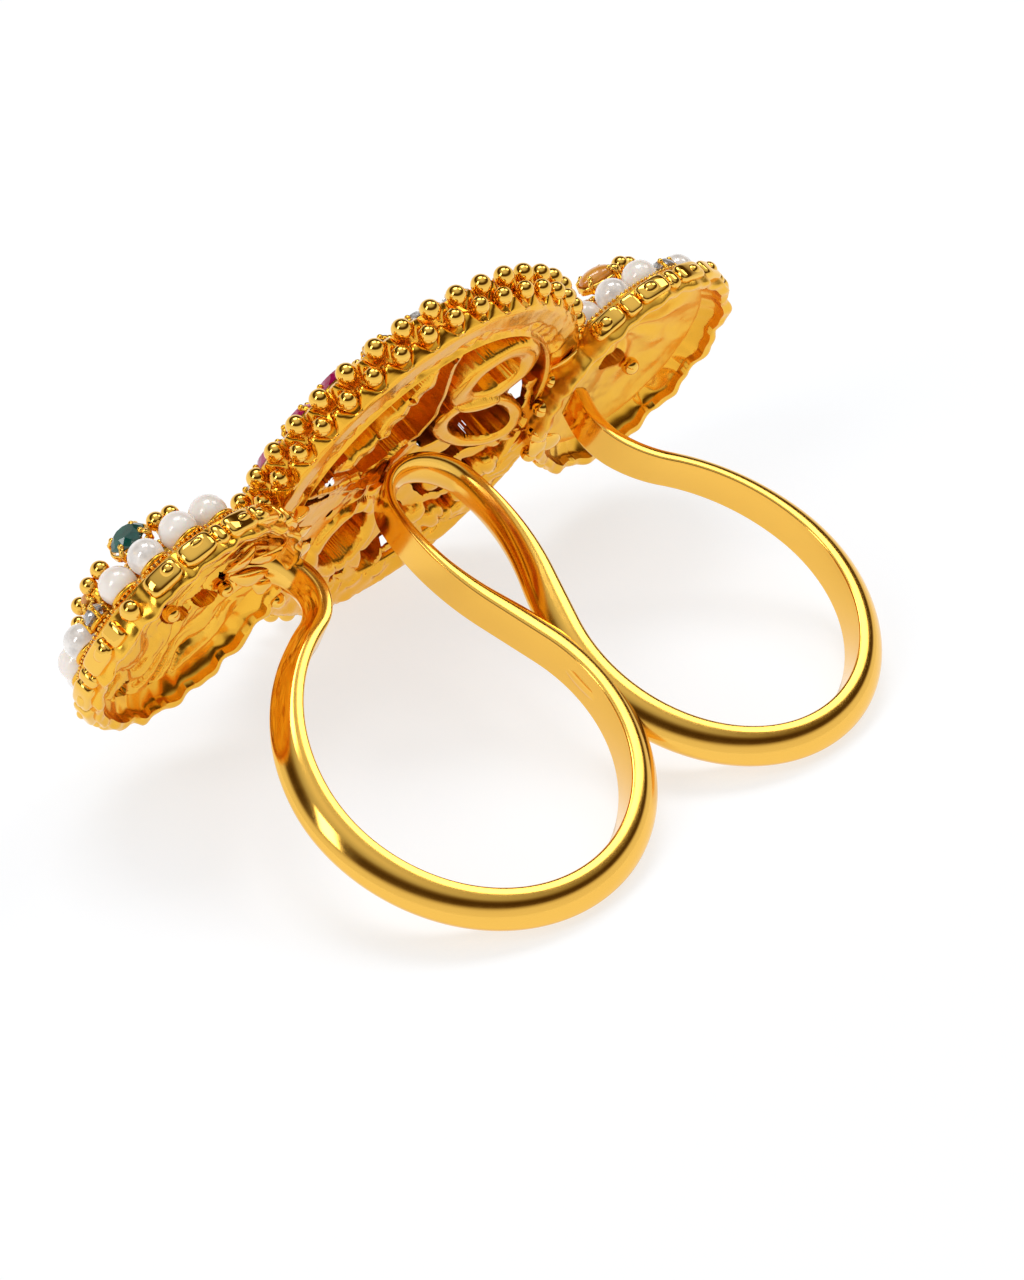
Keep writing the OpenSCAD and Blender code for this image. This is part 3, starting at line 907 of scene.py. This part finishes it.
cr.make("middle_ruby_cut", ruby, "ruby", at=MID, smooth=False, replaces=("middle_ruby",))


# ---------------------------------------------------------------------------
# Side plaques
# ---------------------------------------------------------------------------
def pillow(b, c, axes, sx, sy, sz, e=0.55, mat=0, nu=18, nv=12):
    """A cushion shaped block: a superellipsoid."""
    u = np.linspace(0, 2 * np.pi, nu, endpoint=False)
    v = np.linspace(-np.pi / 2, np.pi / 2, nv + 1)[1:-1]
    f = lambda w, p: np.sign(w) * np.abs(w) ** p
    V = [(0, 0, -sz)]
    for q in v:
        for p in u:
            V.append((sx * f(math.cos(q), e) * f(math.cos(p), e), sy * f(math.cos(q), e) * f(math.sin(p), e), sz * f(math.sin(q), e)))
    V.append((0, 0, sz))
    V = np.array(V) @ np.asarray(axes).T + np.asarray(c)
    m = len(v)
    F4, F3 = [], []
    for i in range(nu):
        j = (i + 1) % nu
        F3.append((0, 1 + j, 1 + i))
        F3.append((len(V) - 1, 1 + (m - 1) * nu + i, 1 + (m - 1) * nu + j))
        for k in range(m - 1):
            F4.append((1 + k * nu + i, 1 + k * nu + j, 1 + (k + 1) * nu + j, 1 + (k + 1) * nu + i))
    b.add(V, F4, mat)
    n0 = b.n - len(V)
    b.f.append(np.array(F3) + n0)
    b.m.append(np.full(len(F3), mat))


def petal(b, c, axes, sx, sy, sz, mat=0, nu=22, nv=14, bend=0.25):
    """A leaf: pointed along its own x, with a midrib, curled by bend."""
    u = np.linspace(0, 2 * np.pi, nu, endpoint=False)
    v = np.linspace(-np.pi / 2, np.pi / 2, nv + 1)[1:-1]
    V = [(0, 0, -0.5 * sz)]
    for q in v:
        for p in u:
            x = math.cos(q) * math.cos(p)
            y = math.cos(q) * math.sin(p) * (1 - 0.35 * abs(x))
            V.append((sx * x, sy * y, sz * (0.5 * math.sin(q) + 0.12 * math.exp(-(y * 5) ** 2) * (q > 0)) + bend * x * x * sx))
    V.append((0, 0, 0.62 * sz))
    V = np.array(V) @ np.asarray(axes).T + np.asarray(c)
    m = len(v)
    F4, F3 = [], []
    for i in range(nu):
        j = (i + 1) % nu
        F3.append((0, 1 + j, 1 + i))
        F3.append((len(V) - 1, 1 + (m - 1) * nu + i, 1 + (m - 1) * nu + j))
        for k in range(m - 1):
            F4.append((1 + k * nu + i, 1 + k * nu + j, 1 + (k + 1) * nu + j, 1 + (k + 1) * nu + i))
    b.add(V, F4, mat)
    n0 = b.n - len(V)
    b.f.append(np.array(F3) + n0)
    b.m.append(np.full(len(F3), mat))


def side(name, at, tilt, seed, nlobe, lobe, stones, course, tops, clip, pits, bumps, leaves, flower, size_k=1.0, lift=0.0):
    """clip(x, y): False where the middle plaque's rim lies, in the plaque's own mm."""
    wa, wb, wc = Waves(5.0, seed), Waves(1.9, seed + 1), Waves(0.9, seed + 2)

    def scallop(t):
        return lobe * np.abs(np.sin(nlobe / 2 * t + 0.4)) + 0.04 * np.sin(5 * t + seed)

    def pit(x, y):
        d = np.full(np.shape(x), 9.0)
        for cx, cy, a, c, rot in pits:
            d = np.minimum(d, sd_ell(x, y, cx, cy, a, c, rot))
        return d

    def back(x, y):
        r, t = np.hypot(x, y), np.arctan2(y, x)
        z = np.interp(r, [0, 2.5, 4.5, 5.6, 6.3, 6.6, 6.9], [2.75, 2.45, 1.95, 1.60, 1.32, 1.36, 1.42])
        k = 1 - sstep(6.0, 6.6, r)
        if flower:
            fx, fy = x - 1.2, y + 1.0
            fr, fa = np.hypot(fx, fy), np.arctan2(fy, fx)
            pet = np.sin(3.5 * fa + 0.35 * wa(x, y)) ** 2
            z = z - k * (0.30 * pet * np.exp(-((fr - 2.4) / 1.6) ** 2) + 0.14 * np.exp(-(fr / 0.7) ** 2))
            z = z + k * 0.02 * np.sin(9 * fa + 1.2 * fr) * np.exp(-((fr - 2.4) / 1.6) ** 2)
            z = z - k * (0.09 * wa(x, y) + 0.035 * wb(x * 0.8, y * 0.8))
        else:
            q = 0.5 * wa(x * 0.6, y * 0.6)
            s = x * np.cos(0.9 + q) + y * np.sin(0.9 + q)
            ribs = np.abs(np.sin(2.3 * s + 0.5 * wb(x * 0.5, y * 0.5)))
            fine = np.abs(np.sin(6.1 * s + 1.0 * wb(y * 0.7, x * 0.7)))
            z = z - k * 0.20 * wa(x * 1.3, y * 1.3) + k * (0.24 * (1 - ribs) ** 2 + 0.05 * (1 - fine) ** 2)
        z = z + (0.008 if flower else 0.02) * wc(x, y)
        d = pit(x, y)
        return np.where(d < 0, z + 1.0, z - 0.12 * np.exp(-(d / 0.25) ** 2))

    def front(x, y):
        r, t = np.hypot(x, y), np.arctan2(y, x)
        z = np.interp(r, [0, 1.5, 2.6, 3.6, 4.5, 4.9, 5.2, 6.4, 6.9], [4.9, 4.8, 4.35, 3.9, 3.6, 3.2, 2.4, 2.2, 1.85])
        return np.maximum(z + 0.03 * wb(x, y), 0)

    cs, sn = math.cos(math.radians(tilt)), math.sin(math.radians(tilt))
    rot = np.array([[cs, 0, -sn], [0, 1, 0], [sn, 0, cs]]) * size_k
    b = Build()
    plate(b, np.r_[np.linspace(0.3, 6.9, 74)], 360, lambda x, y: np.minimum(back(x, y), front(x, y) - 0.3), front, snap_to=(pit, 6.4))
    # scalloped ribbon round the hollow
    nt = 480
    t = np.linspace(0, 2 * np.pi, nt, endpoint=False)
    sc = scallop(t)
    wz = 0.10 * np.cos(nlobe * t + 0.8) + 0.05 * np.sin(3 * t) + 0.05 * np.sin(31 * t + seed)
    sc = sc + 0.05 * np.sin(23 * t + seed) + 0.03 * np.sin(41 * t)
    rows = []
    rows.append(np.stack([6.25 * np.cos(t), 6.25 * np.sin(t), np.full_like(t, 1.42)], -1))
    for ro, z in ((6.70, 0.86), (6.78, 0.5), (6.80, 0.10), (6.86, 0.01), (6.94, -0.02), (7.08, -0.02), (7.18, 0.03), (7.22, 0.12), (7.26, 0.5), (7.2, 1.0), (7.0, 1.7)):
        rr = ro + (0.4 if ro < 6.85 else 1.0) * sc
        rows.append(np.stack([rr * np.cos(t), rr * np.sin(t), z + wz * (z < 1.2)], -1))
    b.add(np.stack(rows).reshape(-1, 3), grid_faces(len(rows), nt, wrap_u=True, wrap_v=True))
    inner = np.zeros(len(b.f[-1]), int)
    inner[:3 * nt] = 1
    b.m[-1] = inner
    # smooth strip under the pearls
    rows = []
    for ro, z in ((6.6, 1.6), (7.18, 1.66), (7.2, 1.78), (6.8, 2.14), (6.6, 2.2), (6.0, 2.2)):
        rows.append(np.stack([ro * np.cos(t), ro * np.sin(t), np.full_like(t, z)], -1))
    b.add(np.stack(rows).reshape(-1, 3), grid_faces(len(rows), nt, wrap_u=True, wrap_v=True))
    body = b.make(name + "_plaque_body", [gold_satin if flower else gold_floor, gold_wall], "gold", at=at, rot=rot)
    sharp(body, 50)

    c = Build()
    g = np.random.default_rng(seed)
    for kind, a in course:
        a = math.radians(a)
        rad = np.array([math.cos(a), math.sin(a), 0])
        tan = np.array([-math.sin(a), math.cos(a), 0])
        up = np.array([0, 0, 1.0])
        ax = np.stack([tan, rad, up], 1)
        if not clip(*(7.3 * rad[:2])):
            continue
        if kind == "P":
            pillow(c, 7.42 * rad + [0, 0, 0.98], ax, 1.10, 0.42, 0.64, 0.5, 0)
            off = g.uniform(-0.45, 0.45)
            pillow(c, 7.6 * rad + off * tan + [0, 0, 1.0 + g.uniform(-0.2, 0.2)], ax, g.uniform(0.40, 0.60), 0.40, g.uniform(0.28, 0.48), 0.9, 0)
        elif kind == "N":
            pillow(c, 7.4 * rad + [0, 0, 0.98], ax, 0.40, 0.40, 0.62, 0.7, 0)
            for s in (-0.22, 0.22):
                for q in (0.70, 1.2):
                    ball(c, 7.42 * rad + s * tan + [0, 0, q], 0.27, (16, 10), 0)
        elif kind == "K":
            pillow(c, 7.4 * rad + [0, 0, 0.95], ax, 0.55, 0.40, 0.62, 0.45, 0)
            ball(c, 7.45 * rad + [0, 0, 1.25], 0.3, (16, 10), 0)
        else:
            ball(c, 7.58 * rad + [0, 0, 1.02], 0.60, (26, 16), 0)
    for k in range(140):
        a = 2 * math.pi * k / 140
        if clip(6.95 * math.cos(a), 6.95 * math.sin(a)):
            ball(c, (6.98 * math.cos(a), 6.98 * math.sin(a), 2.02), 0.105, (10, 6), 0)
    for cx, cy, cz, rr in bumps:
        ball(c, (cx, cy, cz), rr, (26, 16), 0)
    for cx, cy, cz, sx_, sy_, turn, lean in leaves:
        a, q = math.radians(turn), math.radians(lean)
        e1 = np.array([math.cos(a) * math.cos(q), math.sin(a) * math.cos(q), math.sin(q)])
        e2 = np.array([-math.sin(a), math.cos(a), 0])
        petal(c, (cx, cy, cz), np.stack([e1, e2, np.cross(e1, e2)], 1), sx_, sy_, 0.34, 0)
    c.make(name + "_plaque_course", [gold_bead], "gold", at=at, rot=rot)

    trim = Build()
    for i, (kind, a, size_) in enumerate(stones):
        a = math.radians(a)
        q = np.array([6.15 * math.cos(a), 6.15 * math.sin(a), 2.95 + lift])
        tt = np.linspace(0, 2 * np.pi, 24, endpoint=False)
        rr = 0.85 * size_
        tube(trim, q + np.stack([rr * np.cos(tt), rr * np.sin(tt), np.full_like(tt, -0.72 * size_)], -1), 0.16, 8, 0, closed=True)
        if size_ < 0.8:
            for j in range(4):
                b_ = a + math.pi / 4 + j * math.pi / 2
                p0 = q + [0.72 * math.cos(b_), 0.72 * math.sin(b_), -0.6]
                p1 = q + [0.70 * math.cos(b_), 0.70 * math.sin(b_), 0.25]
                tube(trim, [p0, (p0 + p1) / 2, p1], [0.16, 0.13, 0.12], 8, 0)
                ball(trim, p1, 0.17, (12, 8), 1)
        am = a + math.radians(9.5)
        for rq, zq, sq in ((5.15, 3.35, 0.3), (4.75, 3.7, 0.24)):
            if clip(rq * math.cos(am), rq * math.sin(am)):
                ball(trim, (rq * math.cos(am), rq * math.sin(am), zq), sq, (12, 8), 1)
    for kind, a, rr, zz, s in tops:
        a = math.radians(a)
        q = np.array([rr * math.cos(a), rr * math.sin(a), zz])
        ball(trim, q, s, (26, 16), 1)
        foot = np.array([0.93 * q[0], 0.93 * q[1], 3.2])
        tube(trim, [foot, (foot + q) / 2, q], [s * 1.0, s * 0.7, s * 0.6], 12, 0)
    tt = np.linspace(0, 2 * np.pi, 160, endpoint=False)
    tube(trim, np.stack([3.1 * np.cos(tt), 3.1 * np.sin(tt), np.full_like(tt, 4.2)], -1), 0.15, 8, 0, closed=True)
    for k in range(34):
        a = 2 * math.pi * k / 34
        ball(trim, (2.7 * math.cos(a), 2.7 * math.sin(a), 4.45), 0.2, (10, 6), 1)
    for k in range(8):
        a = 2 * math.pi * k / 8
        e1 = np.array([math.cos(a), math.sin(a), 0])
        e2 = np.array([-math.sin(a), math.cos(a), 0])
        petal(trim, (1.5 * math.cos(a), 1.5 * math.sin(a), 4.85), np.stack([e1, e2, np.array([0, 0, 1.0])], 1), 0.85, 0.5, 0.4, 0, bend=-0.12)
    ball(trim, (0, 0, 5.0), 0.55, (26, 16), 1)
    trim.make(name + "_plaque_trim", [gold_cast, gold_bead], "gold", at=at, rot=rot)
    count = {"pearl": 0, "crystal": 0}
    for kind, a, size_ in stones:
        count[kind] += 1
        nm = "%s_%s_%d" % (name, kind, count[kind])
        s = Build()
        a = math.radians(a)
        q = np.array([6.15 * math.cos(a), 6.15 * math.sin(a), 2.95 + lift])
        if size_ < 0.8:
            gem(s, q - [0, 0, 0.1], frame_of((0.4 * math.cos(a), 0.4 * math.sin(a), 1.0)), 0.74, 0.74, 0.6, 12)
            s.make(nm + "_cut", diamond, kind, at=at, rot=rot, smooth=False, replaces=(nm,))
        else:
            ball(s, q, size_, (40, 26), 0, frame_of((math.cos(a), math.sin(a), 0.8)))
            s.make(nm + "_ball", pearl if kind == "pearl" else crystal, kind, at=at, rot=rot, replaces=(nm,))
    return rot


LEFT_STONES = [("pearl", -76.5, 1.06), ("pearl", -97.5, 1.06), ("crystal", -118.6, 1.0), ("pearl", -138.2, 1.06), ("crystal", -158, 0.7), ("crystal", -177, 1.0), ("pearl", 163, 1.06), ("crystal", 143, 1.0), ("pearl", 123, 1.06), ("pearl", 103, 1.06), ("crystal", 83, 1.0)]
RIGHT_STONES = [("pearl", -131, 1.04), ("crystal", -111.5, 1.0), ("pearl", -91.5, 1.06), ("crystal", -71, 0.7), ("crystal", -51.5, 1.0), ("pearl", -32.8, 1.06), ("crystal", -13.2, 1.0), ("pearl", 6.4, 1.06), ("pearl", 26.5, 1.06), ("crystal", 46.1, 1.0), ("pearl", 65.7, 1.06)]
LEFT_COURSE = [("P", -79), ("N", -91), ("P", -103), ("P", -121), ("B", -139), ("K", -151), ("P", -164), ("N", -177), ("P", 171), ("P", 153), ("N", 140), ("P", 127), ("P", 109), ("B", 92), ("K", 80), ("P", 66), ("N", 53), ("P", 40), ("P", 22), ("N", 9), ("P", -63), ("N", -50), ("P", -36)]
RIGHT_COURSE = [("P", -58), ("P", -76), ("N", -88), ("P", -100), ("K", -113), ("P", -126), ("B", -142), ("P", -158), ("N", -45), ("P", -32), ("P", -14), ("B", 2), ("K", 14), ("P", 28), ("N", 41), ("P", 54), ("P", 72), ("N", 85), ("P", 98), ("P", 116), ("N", 129), ("P", 142), ("N", -172), ("P", 170)]
LEFT_TOPS = [("ball", -92, 4.4, 4.85, 0.54), ("ball", -77, 4.3, 4.85, 0.54), ("ball", -143, 4.9, 4.75, 0.54), ("ball", -154, 5.2, 4.6, 0.5), ("ball", -171, 5.0, 4.55, 0.5),
             ("ball", 170, 4.8, 4.4, 0.45), ("ball", 150, 4.6, 4.4, 0.5), ("ball", 120, 4.6, 4.4, 0.5), ("ball", 95, 4.6, 4.4, 0.5), ("ball", 70, 4.6, 4.4, 0.5)]
RIGHT_TOPS = [("ball", -70, 4.4, 4.95, 0.54), ("ball", -56, 4.4, 4.95, 0.54), ("ball", -82, 4.4, 4.7, 0.42), ("ball", -40, 4.6, 4.4, 0.5), ("ball", -15, 4.6, 4.4, 0.5),
              ("ball", 15, 4.6, 4.4, 0.5), ("ball", 45, 4.6, 4.4, 0.5), ("ball", 75, 4.6, 4.4, 0.5), ("ball", -140, 4.6, 4.4, 0.45)]


def clip_left(x, y):
    p = np.array([x, y]) + LEFT[:2] - MID[:2]
    return np.hypot(*p) > 12.6


def clip_right(x, y):
    p = np.array([x, y]) + RIGHT[:2] - MID[:2]
    return np.hypot(*p) > 12.6


#            x     y   half axes  turn
LEFT_PITS = [(0.9, 2.1, 0.85, 0.45, 20), (2.9, 1.7, 0.6, 0.5, 0), (4.3, 0.4, 0.8, 0.4, 30), (-3.4, 5.2, 0.5, 0.9, 60), (-1.4, -2.8, 0.4, 0.7, 40)]
RIGHT_PITS = [(0.6, 1.0, 1.0, 0.7, 20), (-0.4, 4.2, 0.3, 0.2, 0)]
#               x    y     z    r
LEFT_BUMPS = [(0.0, 0.9, 2.1, 0.5), (3.7, 0.9, 1.6, 0.45), (6.9, 2.6, 0.1, 0.5), (-6.3, 3.1, 0.6, 0.4)]
RIGHT_BUMPS = [(2.2, 1.85, 1.75, 0.55), (-7.0, 1.6, 0.6, 0.6), (-7.2, -0.4, 0.9, 0.6), (-7.0, 3.4, 0.5, 0.5), (-6.8, -2.2, 1.3, 0.55)]
#                x     y    z   half length, width, turn, lean
LEFT_LEAVES = [(7.4, -2.6, 0.5, 1.5, 0.8, 60, 25), (7.7, -0.8, 0.3, 1.4, 0.8, 80, 20), (7.2, -4.0, 0.8, 1.2, 0.7, 40, 30), (5.6, -1.4, 0.9, 1.5, 0.75, -30, -20),
               (5.0, 0.2, 1.0, 1.4, 0.7, 10, -15), (5.9, 1.2, 0.6, 1.2, 0.6, 40, -10), (3.9, -1.6, 1.3, 1.2, 0.7, -50, -10), (7.3, 1.2, 0.4, 1.0, 0.6, 100, 20)]
RIGHT_LEAVES = [(-6.7, -3.6, 1.2, 1.2, 0.6, 120, 20), (-6.9, 2.6, 0.2, 1.2, 0.7, 70, -10), (-5.2, 3.4, 0.5, 1.3, 0.7, 30, -10)]
RIGHT_AT = RIGHT + [0.58, 0.0, 0.5]  # the photo shows it a little further out than the CAD
rot_left = side("left", LEFT, 4.3, 21, 18, 0.20, LEFT_STONES, LEFT_COURSE, LEFT_TOPS, clip_left, LEFT_PITS, LEFT_BUMPS, LEFT_LEAVES, False)
rot_right = side("right", RIGHT_AT, 0.0, 41, 13, 0.34, RIGHT_STONES, RIGHT_COURSE, RIGHT_TOPS, clip_right, RIGHT_PITS, RIGHT_BUMPS, RIGHT_LEAVES, True, 1.055, -0.35)


def set_stone(name, at, rot, a, r, z, s, mat, slot, node_name, cab=False, lean=0.5, long=1.0):
    a = math.radians(a)
    b, g = Build(), Build()
    n = np.array([lean * math.cos(a), lean * math.sin(a), 1.0])
    n /= np.linalg.norm(n)
    tan = np.array([-math.sin(a), math.cos(a), 0])
    ax = np.stack([tan, np.cross(n, tan), n], 1)
    c = np.array([r * math.cos(a), r * math.sin(a), z])
    if cab:
        ball(b, c + 0.2 * n, (s * long, s * 0.8, 0.6 * s), (26, 16), 0, ax)
    else:
        gem(b, c, ax, s * long, s, 0.8 * s, 10)
    bezel(g, c - 0.15 * n, ax, s * 0.97 * long, s * (0.78 if cab else 0.97), 0.8 * s, 4, pr=0.16)
    # post down to the plaque
    tube(g, [np.array([0.95 * c[0], 0.95 * c[1], 3.1]), c - 0.5 * n, c - 0.1 * n], [0.7 * s, 0.7 * s, 0.8 * s], 14, 0)
    b.make(name, mat, slot, at=at, rot=rot, smooth=cab, replaces=(node_name,))
    g.make(name + "_bezel", gold_bead, "gold", at=at, rot=rot)


set_stone("left_emerald_cut", LEFT, rot_left, -116, 4.45, 4.85, 0.86, emerald, "emerald", "left_emerald", lean=1.3, long=1.3)
set_stone("left_orange_bead_set", LEFT, rot_left, -162, 5.0, 4.2, 0.45, orange, "orange_stone", "left_orange_bead", cab=True)
set_stone("right_orange_cabochon", RIGHT_AT, rot_right, -101, 4.4, 4.65, 0.88, orange, "orange_stone", "right_orange_stone", cab=True, lean=0.9, long=1.35)

# ---------------------------------------------------------------------------
# Floor, light and camera
# ---------------------------------------------------------------------------
me = bpy.data.meshes.new("floor")
s = 1.5
me.from_pydata([(-s, -s, 0), (s, -s, 0), (s, s, 0), (-s, s, 0)], [], [(0, 1, 2, 3)])
floor = bpy.data.objects.new("floor", me)
bpy.context.scene.collection.objects.link(floor)
fm, nt, p = new_mat("floor_white")
p.inputs["Base Color"].default_value = (0.41, 0.435, 0.47, 1)
p.inputs["Emission Color"].default_value = (1, 1, 1, 1)
p.inputs["Emission Strength"].default_value = 0.58
p.inputs["Roughness"].default_value = 0.7
p.inputs["Specular IOR Level"].default_value = 0.1
me.materials.append(fm)

scene = bpy.context.scene
world = bpy.data.worlds.new("studio")
scene.world = world
world.use_nodes = True
wt = world.node_tree
bg = wt.nodes["Background"]
bg.inputs["Strength"].default_value = 1.0
tc = node(wt, "ShaderNodeTexCoord")
sx = node(wt, "ShaderNodeSeparateXYZ")
wt.links.new(tc.outputs["Generated"], sx.inputs["Vector"])
up = node(wt, "ShaderNodeValToRGB")
el = up.color_ramp.elements
# by height: pale surround low down, a dark gap above it, then a paler ceiling
el[0].position, el[0].color = 0.0, (0.78, 0.78, 0.78, 1)
el[1].position, el[1].color = 1.0, (0.70, 0.70, 0.70, 1)
for q, c in ((0.28, (0.74, 0.74, 0.74)), (0.38, (0.42, 0.38, 0.32)), (0.45, (0.08, 0.045, 0.012)), (0.64, (0.05, 0.028, 0.008)), (0.74, (0.14, 0.10, 0.05)), (0.84, (0.42, 0.42, 0.42))):
    e = el.new(q)
    e.color = c + (1,)
wt.links.new(sx.outputs["Z"], up.inputs["Fac"])
wt.links.new(up.outputs["Color"], bg.inputs["Color"])


def area(name, loc, target, sx, sy, glow, color=(1, 1, 1)):
    """A softbox; glow is its radiance."""
    L = bpy.data.lights.new(name, "AREA")
    L.shape = "RECTANGLE"
    L.size, L.size_y = sx, sy
    L.energy = glow * math.pi * sx * sy
    L.color = color
    ob = bpy.data.objects.new(name, L)
    ob.location = loc
    d = Vector(target) - Vector(loc)
    ob.rotation_euler = d.to_track_quat("-Z", "Y").to_euler()
    scene.collection.objects.link(ob)
    return ob


area("top", (0.15, 0.35, 1.0), (0, 0, 0.0), 0.50, 0.36, 4.4)
area("left", (-0.75, 0.05, 0.62), (0, 0, 0.01), 0.22, 0.50, 4.6)
area("right", (0.62, -0.02, 0.80), (0, 0, 0.01), 0.30, 0.36, 2.6)

# Camera, solved from the photograph in the ring frame, with x right, y down, z forward
cam = bpy.data.cameras.new("camera")
cam.lens = 81.47
cam.sensor_fit = "VERTICAL"
cam.sensor_width = 36.0
cam.sensor_height = 36.0
cam.lens = 2896.94 * 36.0 / 1280.0
cam.clip_start = 0.001
cam.clip_end = 10
co = bpy.data.objects.new("camera", cam)
Mw = M @ ROT.T
u, _, vt = np.linalg.svd(Mw)
Mw = u @ vt
mat = Matrix.Identity(4)
for i in range(3):
    mat[i][0], mat[i][1], mat[i][2] = Mw[0][i], -Mw[1][i], -Mw[2][i]
loc = W(CAM_AT)
mat[0][3], mat[1][3], mat[2][3] = loc
co.matrix_world = mat
scene.collection.objects.link(co)
scene.camera = co
scene.view_settings.view_transform = "Standard"
scene.view_settings.look = "None"
scene.view_settings.exposure = 0.2
